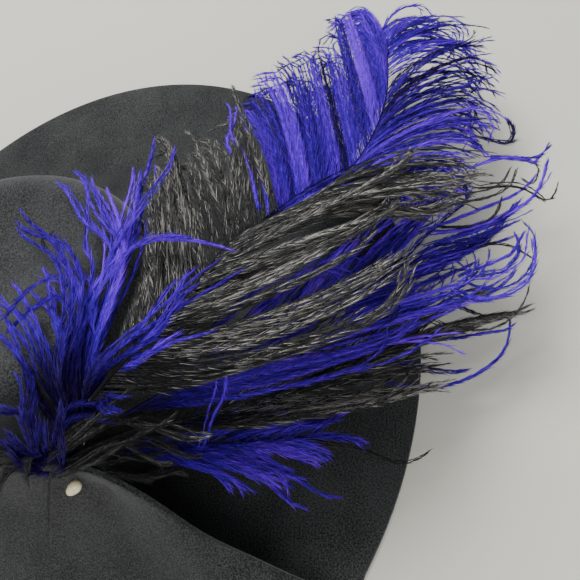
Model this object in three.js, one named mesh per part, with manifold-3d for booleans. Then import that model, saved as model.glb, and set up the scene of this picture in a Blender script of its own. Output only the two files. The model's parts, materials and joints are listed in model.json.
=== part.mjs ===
// Wide-brimmed felt hat: one side of the brim rolls up and is pinned to the crown with a
// pearl-headed pin, and a bundle of ostrich plumes is held on that pin.
// Millimetres, +Z up. The hat lies on its brim. +X is the rolled-up side and the wearer faces -Y,
// so the plumes sweep back over the crown and the rim, towards +Y and -X.

import * as THREE from 'three';
import Module from 'manifold-3d';

const wasm = await Module();
wasm.setup();

// Felt sizes. Side is along X and back is along Y, each measured from the middle of the head.
const FELT = 2.8;
const BRIM_SIDE = 240;
const BRIM_BACK = 216;
const HEAD_SIDE = 85;
const HEAD_BACK = 103;
const TOP_SIDE = 72;
const TOP_BACK = 91;
const CROWN_HEIGHT = 114;
const SHOULDER_RADIUS = 17;
const BREAK_RADIUS = 7;
const DENT_DEPTH = 11;
const DENT_LEAN = 0.35;
const DENT_TOWARDS = 150;
const FAR_RISE = 8;
const FAR_RISE_START = 0.4;

// The rolled-up side: where the roll starts beside the head, where it ends along the rim, and
// how high and how far out of the crown its edge stands.
const ROLL_START = 15;
const ROLL_CORNER = 180;
const FLAP_HEIGHT = 83;
const FLAP_STANDOFF = 8;
const PIN_DIMPLE = 3;
const DIMPLE_WIDTH = 16;

// The pin and its pearl. The pearl's long axis points from its narrower end back, up and inwards.
const PIN_BACK = 61;
const PIN_HEIGHT = 75;
const PIN_RADIUS = 0.6;
const PIN_PAST_WALL = 3;
const PEARL_WIDTH = 6.6;
const PEARL_LENGTH = 9.6;
const PEARL_AXIS = new THREE.Vector3(-0.44, 0.78, 0.44).normalize();
const PEARL_SOCKET = 3;
const PEARL_NARROWING = 0.2;

// The plumes. Every quill has a small root disc threaded on the pin.
const CLEARANCE = 0.3;
const PLUME_GAP = 0.6;
const ROOT_RADIUS = 6;
const ROOT_MARGIN = 1.2;
const QUILL_WIDTH = 5;
const QUILL_TIP = 1.6;
const BARB_REACH = 132;
const BARB_DROP = 22;
const LOCK_WIDTH = 26;
const LOCK_THICKNESS = 9;
const LOCK_ARCH = 0.5;
const WEB_THICKNESS = 5;
const NOTCH_SHARE = 0.35;
const FLOOR_CLEARANCE = 4;
const PLUME_LIFT = 5;

// How a lock leaves its quill. Its line bends from a wider to a narrower angle, as shares of the
// vane's sweep. Its reach grows within the first part of a vane, tapers towards the feather's tip
// and falls away past the vane's end. The sways make no two locks alike.
const BARB_LEAVE = 1.12;
const BARB_ARRIVE = 0.72;
const BARB_MID_DROP = 0.3;
const SWEEP_EASE = 0.5;
const SWEEP_SWAY = 4;
const REACH_SWAY = 0.08;
const VANE_SWELL = 0.2;
const VANE_TAPER = 0.5;
const VANE_TAPER_POWER = 1.5;
const VANE_FADE = 0.12;
const VANE_FADE_DEPTH = 0.6;

// The colours and finishes.
const FELT_FINISH = { color: 0x2b2c2e, roughness: 0.95, metalness: 0 };
const PEARL_FINISH = { color: 0xe9e4d0, roughness: 0.25, metalness: 0 };
const STEEL_FINISH = { color: 0xb8b8b8, roughness: 0.3, metalness: 1 };
const PLUME_FINISH = { roughness: 0.7, metalness: 0 };

// How finely the felt and the locks are faceted, and how near a search or a merge comes.
const ANGLE_STEPS = 60;
const SHOULDER_STEPS = 3;
const WALL_STEPS = 2;
const BREAK_STEPS = 2;
const LOCK_STATIONS = 3;
const QUILL_STATIONS = 6;
const STEM_STATIONS = 3;
const ROOT_SIDES = 10;
const PIN_SIDES = 8;
const PEARL_SIDES = 14;
const PEARL_STEPS = 8;
const ARC_DIVISIONS = 24;
const BISECTIONS = 20;
const SMALLEST = 0.01;
const MERGE_STEP = 0.0001;
const GOLDEN_ANGLE = Math.PI * (3 - Math.sqrt(5));

const DISH_SHARES = [0.38, 0.68, 0.88];
const FLAT_STEPS = 3;
const ROLL_STEPS = 8;
const ROLL_SHARE_LEAST = 0.35;
const ROLL_SHARE_MOST = 0.92;
const ROLL_SHARE_FADE = 0.6;

// Sections of the rolled-up side, from its middle to the corner where it meets the flat rim.
// along: share of ROLL_CORNER. out: share of the way from the flap's middle to the corner.
// up: share of FLAP_HEIGHT. lean: the edge's direction in degrees above +X, seen from the back.
const FLAP_SECTIONS = [
  { along: 0, out: 0, up: 1, lean: 101 },
  { along: 0.29, out: 0, up: 0.99, lean: 101 },
  { along: 0.42, out: 0.03, up: 0.93, lean: 104 },
  { along: 0.525, out: 0.2, up: 0.81, lean: 112 },
  { along: 0.65, out: 0.525, up: 0.53, lean: 130 },
  { along: 0.765, out: 0.72, up: 0.3, lean: 148 },
  { along: 0.86, out: 0.875, up: 0.14, lean: 160 },
  { along: 0.93, out: 0.96, up: 0.05, lean: 166 },
  { along: 1, out: 1, up: 0, lean: 170 },
];

// Sections of a free lock, from its root to its tip. at: share of its length. width: share of its
// plume's lock width. thickness: share of LOCK_THICKNESS.
const LOCK_SECTIONS = [
  { at: 0, width: 0.5, thickness: 1 },
  { at: 0.33, width: 0.92, thickness: 0.76 },
  { at: 0.67, width: 0.63, thickness: 0.52 },
  { at: 1, width: 0.1, thickness: 0.28 },
];

// The plumes, from the flap's side of the pin to the crown's side. A spine's rows are shares of
// BRIM_SIDE, BRIM_BACK and CROWN_HEIGHT. A plume's two vanes, right and then left, each run from
// one share of the spine to another. Their reach and drop are shares of BARB_REACH and BARB_DROP,
// and their sweep off the spine is in degrees. Free locks start at a share of the spine and end at
// their own row, and their width is a share of LOCK_WIDTH. lockCount is the locks along a vane.
const PLUMES = [
  {
    name: 'side_tuft', colour: 0x2a2290, lockWidth: 0.65, lockCount: 4,
    spine: [
      { side: 0.325, back: 0.33, up: 0.53 },
      { side: 0.305, back: 0.44, up: 0.44 },
      { side: 0.285, back: 0.6, up: 0.3 },
      { side: 0.26, back: 0.76, up: 0.22 },
    ],
    vanes: [
      { hand: 1, from: 0.12, to: 1, reach: 0.27, sweep: 34, drop: 0.27 },
      { hand: -1, from: 0.16, to: 1, reach: 0.24, sweep: 30, drop: 0.14 },
    ],
    locks: [
      { at: 0.97, side: 0.31, back: 0.9, up: 0.13 },
      { at: 0.97, side: 0.21, back: 0.96, up: 0.16 },
    ],
  },
  {
    name: 'lower_black_plume', colour: 0x161618, lockWidth: 0.77, lockCount: 6,
    spine: [
      { side: 0.31, back: 0.37, up: 0.6 },
      { side: 0.26, back: 0.52, up: 0.5 },
      { side: 0.19, back: 0.69, up: 0.4 },
      { side: 0.11, back: 0.85, up: 0.31 },
      { side: 0.04, back: 1.02, up: 0.26 },
    ],
    vanes: [
      { hand: 1, from: 0.1, to: 1, reach: 0.47, sweep: 34, drop: 0.55 },
      { hand: -1, from: 0.1, to: 1, reach: 0.39, sweep: 32, drop: 0.27 },
    ],
    locks: [
      { at: 0.98, side: 0.01, back: 1.22, up: 0.2 },
    ],
  },
  {
    name: 'lower_purple_plume', colour: 0x3a31a3, lockWidth: 0.77, lockCount: 6,
    spine: [
      { side: 0.3, back: 0.38, up: 0.71 },
      { side: 0.225, back: 0.51, up: 0.68 },
      { side: 0.14, back: 0.64, up: 0.59 },
      { side: 0.02, back: 0.81, up: 0.49 },
      { side: -0.09, back: 0.98, up: 0.4 },
    ],
    vanes: [
      { hand: 1, from: 0.12, to: 1, reach: 0.55, sweep: 32, drop: 0.55 },
      { hand: -1, from: 0.12, to: 1, reach: 0.44, sweep: 28, drop: 0.18 },
    ],
    locks: [
      { at: 0.98, side: -0.15, back: 1.17, up: 0.34 },
      { at: 0.98, side: -0.22, back: 1.3, up: 0.24 },
    ],
  },
  {
    name: 'long_purple_plume', colour: 0x4a3fb4, lockWidth: 1, lockCount: 9,
    spine: [
      { side: 0.28, back: 0.35, up: 0.76 },
      { side: 0.2, back: 0.47, up: 0.83 },
      { side: -0.02, back: 0.59, up: 0.77 },
      { side: -0.14, back: 0.73, up: 0.68 },
      { side: -0.29, back: 0.87, up: 0.61 },
      { side: -0.48, back: 0.95, up: 0.56 },
      { side: -0.7, back: 0.96, up: 0.49 },
      { side: -0.84, back: 0.935, up: 0.43 },
    ],
    vanes: [
      { hand: 1, from: 0.3, to: 1, reach: 0.95, sweep: 50, drop: 0.91 },
      { hand: -1, from: 0.2, to: 1, reach: 1, sweep: 62, drop: 0.64 },
    ],
    locks: [
      { at: 0.98, side: -0.97, back: 0.85, up: 0.33 },
    ],
  },
  {
    name: 'long_black_plume', colour: 0x1a1a1c, lockWidth: 1, lockCount: 8,
    spine: [
      { side: 0.29, back: 0.37, up: 0.88 },
      { side: 0.23, back: 0.48, up: 1.01 },
      { side: 0.12, back: 0.58, up: 1.01 },
      { side: -0.02, back: 0.66, up: 0.95 },
      { side: -0.1, back: 0.75, up: 0.87 },
      { side: -0.17, back: 0.84, up: 0.8 },
    ],
    vanes: [
      { hand: 1, from: 0.08, to: 1, reach: 0.9, sweep: 42, drop: 1 },
      { hand: -1, from: 0.1, to: 0.75, reach: 0.97, sweep: 56, drop: 0.36 },
    ],
    locks: [
      { at: 0.97, side: -0.33, back: 1.16, up: 0.46 },
    ],
  },
  {
    name: 'base_tuft', colour: 0x2b2478, lockWidth: 0.58,
    spine: [
      { side: 0.315, back: 0.27, up: 0.82 },
      { side: 0.31, back: 0.22, up: 0.94 },
    ],
    vanes: [],
    locks: [
      { at: 0.7, side: 0.385, back: 0.156, up: 0.84 },
      { at: 0.8, side: 0.332, back: 0.13, up: 0.93 },
      { at: 0.95, side: 0.275, back: 0.13, up: 1 },
      { at: 0.9, side: 0.25, back: 0.2, up: 1.06 },
      { at: 0.7, side: 0.285, back: 0.38, up: 1.0 },
    ],
  },
  {
    name: 'front_tuft', colour: 0x3f35ad, lockWidth: 0.62,
    spine: [
      { side: 0.28, back: 0.285, up: 0.88 },
      { side: 0.235, back: 0.3, up: 1.03 },
      { side: 0.15, back: 0.29, up: 1.08 },
    ],
    vanes: [],
    locks: [
      { at: 0.85, side: 0.135, back: 0.143, up: 1.03 },
      { at: 0.9, side: 0.037, back: 0.104, up: 1.02 },
      { at: 0.97, side: -0.02, back: 0.173, up: 1.03 },
      { at: 0.97, side: -0.145, back: 0.149, up: 1.01 },
      { at: 0.97, side: -0.277, back: 0.295, up: 0.96 },
      { at: 0.95, side: -0.373, back: 0.354, up: 0.9 },
      { at: 0.9, side: -0.125, back: 0.44, up: 1 },
      { at: 0.82, side: 0.038, back: 0.586, up: 1.1 },
      { at: 0.76, side: 0.06, back: 0.692, up: 1.07 },
    ],
  },
];

// A smooth value between the rows of a table, by cubic steps whose slopes follow the neighbours.
function tableValue(rows, key, column, value) {
  const last = rows.length - 1;
  if (value <= rows[0][key]) return rows[0][column];
  if (value >= rows[last][key]) return rows[last][column];
  const k = rows.findIndex((row) => row[key] > value) - 1;
  const slope = (i) => {
    const low = rows[Math.max(i - 1, 0)];
    const high = rows[Math.min(i + 1, last)];
    return (high[column] - low[column]) / (high[key] - low[key]);
  };
  const span = rows[k + 1][key] - rows[k][key];
  const t = (value - rows[k][key]) / span;
  const a = rows[k][column];
  const b = rows[k + 1][column];
  const bend = t * t * (3 - 2 * t);
  const leave = slope(k) * span * t * (1 - t) * (1 - t);
  const arrive = slope(k + 1) * span * t * t * (1 - t);
  return a + (b - a) * bend + leave - arrive;
}

function smooth(share) {
  const t = Math.min(Math.max(share, 0), 1);
  return t * t * (3 - 2 * t);
}

// How far out the flat rim reaches along X at a place along Y.
function rimSide(back) {
  return BRIM_SIDE * Math.sqrt(Math.max(1 - (back / BRIM_BACK) ** 2, 0));
}

// Where the roll starts at a place along Y. It meets the rim at the corner.
function rollStart(back) {
  const middle = HEAD_SIDE + ROLL_START;
  const share = Math.abs(back) / ROLL_CORNER;
  return middle + (rimSide(ROLL_CORNER) - middle) * share * share;
}

// The flat brim's place at an angle round the head and a share of the way out to the rim.
function flatPlace(angle, share) {
  const side = HEAD_SIDE + BREAK_RADIUS + (BRIM_SIDE - HEAD_SIDE - BREAK_RADIUS) * share;
  const back = HEAD_BACK + BREAK_RADIUS + (BRIM_BACK - HEAD_BACK - BREAK_RADIUS) * share;
  return new THREE.Vector2(side * Math.cos(angle), back * Math.sin(angle));
}

// The share of the way out at which the rings of the brim close up: at the start of the roll,
// and past the corner it fades to a plain share.
function foldShare(angle) {
  const corner = Math.asin(ROLL_CORNER / BRIM_BACK);
  const turn = Math.abs(Math.atan2(Math.sin(angle), Math.cos(angle)));
  if (turn >= corner) {
    const fade = smooth((turn - corner) / ROLL_SHARE_FADE);
    return ROLL_SHARE_MOST + (ROLL_SHARE_LEAST - ROLL_SHARE_MOST) * fade;
  }
  let low = 0;
  let high = 1;
  for (let step = 0; step < BISECTIONS; step += 1) {
    const trial = (low + high) / 2;
    const place = flatPlace(angle, trial);
    if (place.x < rollStart(place.y)) low = trial;
    else high = trial;
  }
  return Math.min(low, ROLL_SHARE_MOST);
}

// The rolled felt's section at a place along Y: a curve in X and Z that keeps the felt's length.
function rollSection(back) {
  const along = Math.abs(back) / ROLL_CORNER;
  const start = rollStart(back);
  const length = Math.max(rimSide(back) - start, SMALLEST);
  const middle = HEAD_SIDE + FLAP_STANDOFF;
  const out = tableValue(FLAP_SECTIONS, 'along', 'out', along);
  const up = tableValue(FLAP_SECTIONS, 'along', 'up', along);
  const lean = THREE.MathUtils.degToRad(tableValue(FLAP_SECTIONS, 'along', 'lean', along));
  const from = new THREE.Vector2(start, FELT);
  const to = new THREE.Vector2(middle + (rimSide(ROLL_CORNER) - middle) * out, FELT + FLAP_HEIGHT * up);
  const curve = (reach) => {
    const leave = from.clone().add(new THREE.Vector2(reach, 0));
    const arrive = to.clone().sub(new THREE.Vector2(Math.cos(lean), Math.sin(lean)).multiplyScalar(reach));
    arrive.y = Math.max(arrive.y, FELT);
    const bent = new THREE.CubicBezierCurve(from, leave, arrive, to);
    bent.arcLengthDivisions = ARC_DIVISIONS;
    return bent;
  };
  let low = 0;
  let high = length;
  for (let step = 0; step < BISECTIONS; step += 1) {
    const trial = (low + high) / 2;
    if (curve(trial).getLength() < length) low = trial;
    else high = trial;
  }
  return curve(low);
}

// The brim's upper face above a flat place, with its far side raised and its near side rolled up.
function brimPoint(side, back, share, sections) {
  const start = rollStart(back);
  if (side <= start || Math.abs(back) >= ROLL_CORNER) {
    const away = Math.max(-side / BRIM_SIDE, 0);
    const rise = FAR_RISE * smooth((share - FAR_RISE_START) / (1 - FAR_RISE_START)) * away * away;
    return new THREE.Vector3(side, back, FELT + rise);
  }
  const key = back.toFixed(6);
  if (!sections.has(key)) sections.set(key, rollSection(back));
  const curve = sections.get(key);
  const length = rimSide(back) - start;
  const at = curve.getPointAt(Math.min((side - start) / length, 1));
  const off = new THREE.Vector2(back - PIN_BACK, at.y - PIN_HEIGHT).length() / DIMPLE_WIDTH;
  const upperHalf = smooth(((side - start) / length) * 2 - 1);
  return new THREE.Vector3(at.x - PIN_DIMPLE * upperHalf * Math.exp(-off * off), back, at.y);
}

// Rings of the upper face, from the crown's middle over its shoulder and down to the rim.
function upperRings() {
  const angles = Array.from({ length: ANGLE_STEPS }, (_, i) => (i * 2 * Math.PI) / ANGLE_STEPS);
  const flatSide = TOP_SIDE - SHOULDER_RADIUS;
  const flatBack = TOP_BACK - SHOULDER_RADIUS;
  const towards = THREE.MathUtils.degToRad(DENT_TOWARDS);
  const dent = (share, angle) => {
    const bowl = (1 - share * share) ** 2;
    const leanAt = 4 * share * (1 - share) * Math.max(Math.cos(angle - towards), 0);
    return DENT_DEPTH * (bowl + DENT_LEAN * leanAt);
  };
  const ring = (side, back, height) => angles.map(
    (angle) => new THREE.Vector3(side * Math.cos(angle), back * Math.sin(angle), height(angle)),
  );
  const rings = DISH_SHARES.map((share) => ring(
    flatSide * share, flatBack * share, (angle) => CROWN_HEIGHT - dent(share, angle),
  ));
  for (let i = 0; i <= SHOULDER_STEPS; i += 1) {
    const turn = (i / SHOULDER_STEPS) * (Math.PI / 2);
    const out = SHOULDER_RADIUS * Math.sin(turn);
    const height = CROWN_HEIGHT - SHOULDER_RADIUS * (1 - Math.cos(turn));
    rings.push(ring(flatSide + out, flatBack + out, () => height));
  }
  const wallTop = CROWN_HEIGHT - SHOULDER_RADIUS;
  const wallFoot = FELT + BREAK_RADIUS;
  for (let i = 1; i <= WALL_STEPS; i += 1) {
    const share = i / WALL_STEPS;
    const height = wallTop + (wallFoot - wallTop) * share;
    const side = TOP_SIDE + (HEAD_SIDE - TOP_SIDE) * share;
    const back = TOP_BACK + (HEAD_BACK - TOP_BACK) * share;
    rings.push(ring(side, back, () => height));
  }
  for (let i = 1; i <= BREAK_STEPS; i += 1) {
    const turn = (i / BREAK_STEPS) * (Math.PI / 2);
    const out = BREAK_RADIUS * (1 - Math.cos(turn));
    const height = FELT + BREAK_RADIUS * (1 - Math.sin(turn));
    rings.push(ring(HEAD_SIDE + out, HEAD_BACK + out, () => height));
  }
  const sections = new Map();
  const foldShares = angles.map(foldShare);
  for (let step = 1; step <= FLAT_STEPS + ROLL_STEPS; step += 1) {
    rings.push(angles.map((angle, i) => {
      const past = Math.max(step - FLAT_STEPS, 0) / ROLL_STEPS;
      const flat = Math.min(step / FLAT_STEPS, 1);
      const share = foldShares[i] * flat + (1 - foldShares[i]) * past;
      const place = flatPlace(angle, share);
      return brimPoint(place.x, place.y, share, sections);
    }));
  }
  return { pole: new THREE.Vector3(0, 0, CROWN_HEIGHT - dent(0, 0)), rings };
}

// The outward direction of the upper face at each place of a ring.
function ringNormals(pole, rings, row) {
  const before = row > 0 ? rings[row - 1] : null;
  const after = rings[Math.min(row + 1, rings.length - 1)];
  return rings[row].map((_, i) => {
    const inner = before ? before[i] : pole;
    const outward = after[i].clone().sub(inner);
    const next = rings[row][(i + 1) % ANGLE_STEPS];
    const previous = rings[row][(i + ANGLE_STEPS - 1) % ANGLE_STEPS];
    return outward.cross(next.clone().sub(previous)).normalize();
  });
}

function toSolid(points, triangles) {
  const vertProperties = new Float32Array(points.flatMap((p) => [p.x, p.y, p.z]));
  const mesh = new wasm.Mesh({ numProp: 3, vertProperties, triVerts: new Uint32Array(triangles) });
  return new wasm.Manifold(mesh);
}

// The felt as one thin wall, open below the crown. With a growth it is that much thicker
// on both faces, to cut clearance into what lies on it.
function feltSolid(growth) {
  const { pole, rings } = upperRings();
  const points = [];
  const triangles = [];
  const addFace = (offset, flip) => {
    const first = points.length;
    points.push(new THREE.Vector3(pole.x, pole.y, pole.z + offset));
    rings.forEach((ring, row) => {
      const normals = ringNormals(pole, rings, row);
      ring.forEach((p, i) => points.push(p.clone().addScaledVector(normals[i], offset)));
    });
    const at = (row, i) => first + 1 + row * ANGLE_STEPS + (i % ANGLE_STEPS);
    const push = (a, b, c) => triangles.push(...(flip ? [a, c, b] : [a, b, c]));
    for (let i = 0; i < ANGLE_STEPS; i += 1) {
      push(first, at(0, i), at(0, i + 1));
      for (let row = 0; row + 1 < rings.length; row += 1) {
        push(at(row, i), at(row + 1, i), at(row + 1, i + 1));
        push(at(row, i), at(row + 1, i + 1), at(row, i + 1));
      }
    }
    return (i) => at(rings.length - 1, i);
  };
  const upper = addFace(growth, false);
  const lower = addFace(-FELT - growth, true);
  for (let i = 0; i < ANGLE_STEPS; i += 1) {
    triangles.push(upper(i), lower(i), lower(i + 1), upper(i), lower(i + 1), upper(i + 1));
  }
  return toSolid(points, triangles);
}

function toGeometry(solid) {
  const mesh = solid.getMesh();
  const geometry = new THREE.BufferGeometry();
  geometry.setAttribute('position', new THREE.BufferAttribute(new Float32Array(mesh.vertProperties), 3));
  geometry.setIndex(new THREE.BufferAttribute(new Uint32Array(mesh.triVerts), 1));
  geometry.computeVertexNormals();
  return geometry;
}

// Where a line along -X through a place crosses a solid, from the outside in.
function crossings(geometry, back, height) {
  const body = new THREE.Mesh(geometry, new THREE.MeshBasicMaterial({ side: THREE.DoubleSide }));
  const start = new THREE.Vector3(2 * BRIM_SIDE, back, height);
  const caster = new THREE.Raycaster(start, new THREE.Vector3(-1, 0, 0));
  return caster.intersectObject(body);
}

// A solid of revolution about a line along X, from rows of place along X and radius.
function turnedAlongX(rows, sides, back, height) {
  const profile = rows.map((row) => new THREE.Vector2(row.radius, row.place));
  const lathe = new THREE.LatheGeometry(profile, sides);
  lathe.rotateZ(-Math.PI / 2);
  lathe.translate(0, back, height);
  return closedSolid(lathe);
}

// Merges the shared points of a turned geometry and drops its empty triangles.
function closedSolid(geometry) {
  const source = geometry.index;
  const place = geometry.getAttribute('position');
  const points = [];
  const seen = new Map();
  const merged = Array.from({ length: place.count }, (_, i) => {
    const p = new THREE.Vector3().fromBufferAttribute(place, i);
    const key = p.toArray().map((value) => Math.round(value / MERGE_STEP)).join();
    if (!seen.has(key)) {
      seen.set(key, points.length);
      points.push(p);
    }
    return seen.get(key);
  });
  const triangles = [];
  for (let i = 0; i < source.count; i += 3) {
    const [a, b, c] = [0, 1, 2].map((k) => merged[source.getX(i + k)]);
    if (a !== b && b !== c && c !== a) triangles.push(a, b, c);
  }
  const solid = toSolid(points, triangles);
  return solid.volume() > 0 ? solid : toSolid(points, triangles.reverse());
}

function rod(from, to, radius, sides = PIN_SIDES) {
  return turnedAlongX([
    { place: from, radius: 0 },
    { place: from, radius },
    { place: to, radius },
    { place: to, radius: 0 },
  ], sides, PIN_BACK, PIN_HEIGHT);
}

// The pearl is an egg that is drilled across and lies against the felt.
function pearlSolid(place) {
  const profile = Array.from({ length: PEARL_STEPS + 1 }, (_, i) => {
    const turn = (i / PEARL_STEPS) * Math.PI;
    const narrowing = 1 - PEARL_NARROWING * smooth((1 - Math.cos(turn)) / 2);
    const isPole = i === 0 || i === PEARL_STEPS;
    const radius = isPole ? 0 : (PEARL_WIDTH / 2) * Math.sin(turn) * narrowing;
    return new THREE.Vector2(radius, -(PEARL_LENGTH / 2) * Math.cos(turn));
  });
  const egg = new THREE.LatheGeometry(profile, PEARL_SIDES);
  egg.applyQuaternion(new THREE.Quaternion().setFromUnitVectors(new THREE.Vector3(0, -1, 0), PEARL_AXIS));
  egg.translate(place, PIN_BACK, PIN_HEIGHT);
  return closedSolid(egg);
}

// A tapered blade along a smooth path, flat from side to side and pointed at its end.
function bladeSolid(path, width, thickness, stations, growth) {
  const curve = new THREE.CatmullRomCurve3(path, false, 'centripetal');
  const points = [];
  const up = new THREE.Vector3(0, 0, 1);
  for (let k = 0; k <= stations; k += 1) {
    const t = k / stations;
    const centre = curve.getPointAt(t);
    const tangent = curve.getTangentAt(t);
    if (k === 0) centre.addScaledVector(tangent, -growth);
    if (k === stations) centre.addScaledVector(tangent, growth);
    const across = tangent.clone().cross(up).normalize();
    const normal = across.clone().cross(tangent).normalize();
    const halfWidth = width(t) / 2 + growth;
    const halfThickness = thickness(t) / 2 + growth;
    points.push(centre.clone().addScaledVector(across, halfWidth));
    points.push(centre.clone().addScaledVector(normal, halfThickness));
    points.push(centre.clone().addScaledVector(across, -halfWidth));
    points.push(centre.clone().addScaledVector(normal, -halfThickness));
  }
  return loftSolid(points, 4);
}

// A small repeatable sway for each lock, between -1 and 1, that differs from its neighbours'.
function sway(index, hand) {
  return Math.sin((index + 1) * GOLDEN_ANGLE + hand);
}

// A row's place in the hat's frame, never lower than the floor's clearance.
function rowPlace(row) {
  const height = Math.max(row.up * CROWN_HEIGHT + PLUME_LIFT, FLOOR_CLEARANCE);
  return new THREE.Vector3(row.side * BRIM_SIDE, row.back * BRIM_BACK, height);
}

// A lock's path out from the spine in a vane, at a share of the vane's run. The reach grows
// from the vane's start and tapers to its end, and the lock droops.
function vanePath(spine, vane, at, wobble) {
  const share = (at - vane.from) / (1 - vane.from);
  const start = spine.getPointAt(at);
  const tangent = spine.getTangentAt(at);
  const heading = Math.atan2(tangent.y, tangent.x);
  const outward = Math.max(share, 0);
  const ease = 1 - SWEEP_EASE * outward;
  const sweep = THREE.MathUtils.degToRad(vane.sweep * ease + SWEEP_SWAY * wobble);
  const fade = 1 - VANE_FADE_DEPTH * smooth((at - vane.to) / VANE_FADE);
  const swell = smooth(share / VANE_SWELL) * (1 - VANE_TAPER * outward ** VANE_TAPER_POWER) * fade;
  const drop = BARB_DROP * vane.drop * swell;
  const reach = Math.max(BARB_REACH * vane.reach * swell * (1 + REACH_SWAY * wobble), QUILL_WIDTH / 2);
  const step = (turn, length) => {
    const angle = heading - vane.hand * turn;
    return new THREE.Vector3(Math.cos(angle) * length, Math.sin(angle) * length, 0);
  };
  const middle = start.clone().add(step(sweep * BARB_LEAVE, reach / 2));
  middle.z -= drop * BARB_MID_DROP;
  const end = middle.clone().add(step(sweep * BARB_ARRIVE, reach / 2));
  end.z = Math.max(start.z - drop, FLOOR_CLEARANCE + LOCK_THICKNESS);
  return { start, middle, end };
}

// A feather as one leaf: a thick quill line between two vanes, each a row of locks side by side.
// A lock's own line is thick and reaches its tip, and the line between two locks is thin and short.
function leafSolid(spine, plume, growth) {
  const from = Math.min(...plume.vanes.map((vane) => vane.from));
  const stem = Array.from({ length: STEM_STATIONS }, (_, i) => (from * i) / STEM_STATIONS);
  const lines = 2 * plume.lockCount;
  const run = Array.from({ length: lines + 1 }, (_, i) => from + ((1 - from) * i) / lines);
  const points = [];
  const stations = [...stem, ...run];
  stations.forEach((at, k) => {
    const isVane = k > STEM_STATIONS;
    const isLock = isVane && (k - STEM_STATIONS) % 2 === 1;
    const [right, left] = plume.vanes.map((vane) => vanePath(spine, vane, at, sway(k, vane.hand)));
    const quill = (QUILL_WIDTH * (1 - at) + QUILL_TIP * at) / 2 + growth;
    const half = (isLock ? LOCK_THICKNESS : WEB_THICKNESS) / 2 + growth;
    const tip = WEB_THICKNESS / 4 + growth;
    const reach = isLock ? 1 : NOTCH_SHARE;
    const section = [left, right].map((side) => {
      const end = side.middle.clone().lerp(side.end, reach);
      const out = end.clone().sub(side.start).setZ(0).normalize();
      return { middle: side.middle, end: end.addScaledVector(out, growth) };
    });
    const ends = (k === 0 ? -1 : 0) + (k === stations.length - 1 ? 1 : 0);
    const past = spine.getTangentAt(at).multiplyScalar(ends * growth);
    const add = (place, offset) => points.push(place.clone().add(past).setZ(place.z + past.z + offset));
    add(section[0].end, tip);
    add(section[0].middle, isVane ? half : quill);
    add(left.start, quill);
    add(section[1].middle, isVane ? half : quill);
    add(section[1].end, tip);
    add(section[1].end, -tip);
    add(section[1].middle, isVane ? -half : -quill);
    add(left.start, -quill);
    add(section[0].middle, isVane ? -half : -quill);
    add(section[0].end, -tip);
  });
  return loftSolid(points, 10);
}

// Joins rings of points, one after another, into a closed body with flat ends.
function loftSolid(points, count) {
  const last = points.length / count - 1;
  const triangles = [];
  const at = (k, i) => count * k + (i % count);
  for (let k = 0; k < last; k += 1) {
    for (let i = 0; i < count; i += 1) {
      triangles.push(at(k, i), at(k + 1, i), at(k + 1, i + 1));
      triangles.push(at(k, i), at(k + 1, i + 1), at(k, i + 1));
    }
  }
  for (let i = 0; i < count / 2 - 1; i += 1) {
    const far = count - 1 - i;
    for (const [k, flip] of [[0, false], [last, true]]) {
      const quad = [at(k, i), at(k, i + 1), at(k, far - 1), at(k, far)];
      const order = flip ? [0, 2, 1, 0, 3, 2] : [0, 1, 2, 0, 2, 3];
      triangles.push(...order.map((corner) => quad[corner]));
    }
  }
  const solid = toSolid(points, triangles);
  return solid.volume() > 0 ? solid : toSolid(points, triangles.reverse());
}

// A free lock from a share of the spine to its own row, with a low arch.
function freeLock(spine, lock, widthShare, growth) {
  const start = spine.getPointAt(lock.at);
  const end = rowPlace(lock);
  const middle = start.clone().lerp(end, 0.5);
  middle.z = THREE.MathUtils.lerp(middle.z, Math.max(start.z, end.z), LOCK_ARCH);
  const width = (t) => LOCK_WIDTH * widthShare * tableValue(LOCK_SECTIONS, 'at', 'width', t);
  const thickness = (t) => LOCK_THICKNESS * tableValue(LOCK_SECTIONS, 'at', 'thickness', t);
  return bladeSolid([start, middle, end], width, thickness, LOCK_STATIONS, growth);
}

// One plume: a root disc on the pin, its feather or quill, and its free locks, in one body.
function plumeSolid(plume, root, growth) {
  const rows = [root.centre, ...plume.spine.map(rowPlace)];
  const spine = new THREE.CatmullRomCurve3(rows, false, 'centripetal');
  const quillWidth = (t) => QUILL_WIDTH * (1 - t) + QUILL_TIP * t;
  const disc = rod(
    root.centre.x - root.width / 2 - growth, root.centre.x + root.width / 2 + growth,
    ROOT_RADIUS + growth, ROOT_SIDES,
  );
  const body = plume.vanes.length > 0
    ? leafSolid(spine, plume, growth)
    : bladeSolid(rows, quillWidth, quillWidth, QUILL_STATIONS, growth);
  const locks = plume.locks.map((lock) => freeLock(spine, lock, plume.lockWidth, growth));
  return wasm.Manifold.union([disc, body, ...locks]);
}

function largestBody(solid) {
  return solid.decompose().reduce((best, body) => (body.volume() > best.volume() ? body : best));
}

function named(name, solid, finish) {
  const material = new THREE.MeshStandardMaterial(finish);
  const mesh = new THREE.Mesh(toGeometry(solid), material);
  mesh.name = name;
  return mesh;
}

const felt = feltSolid(0);
const feltGeometry = toGeometry(felt);
const hits = crossings(feltGeometry, PIN_BACK, PIN_HEIGHT);
const [flapOuter, flapInner, crownOuter, crownInner] = hits.map((hit) => hit.point.x);
const flapNormal = hits[0].face.normal;

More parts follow.
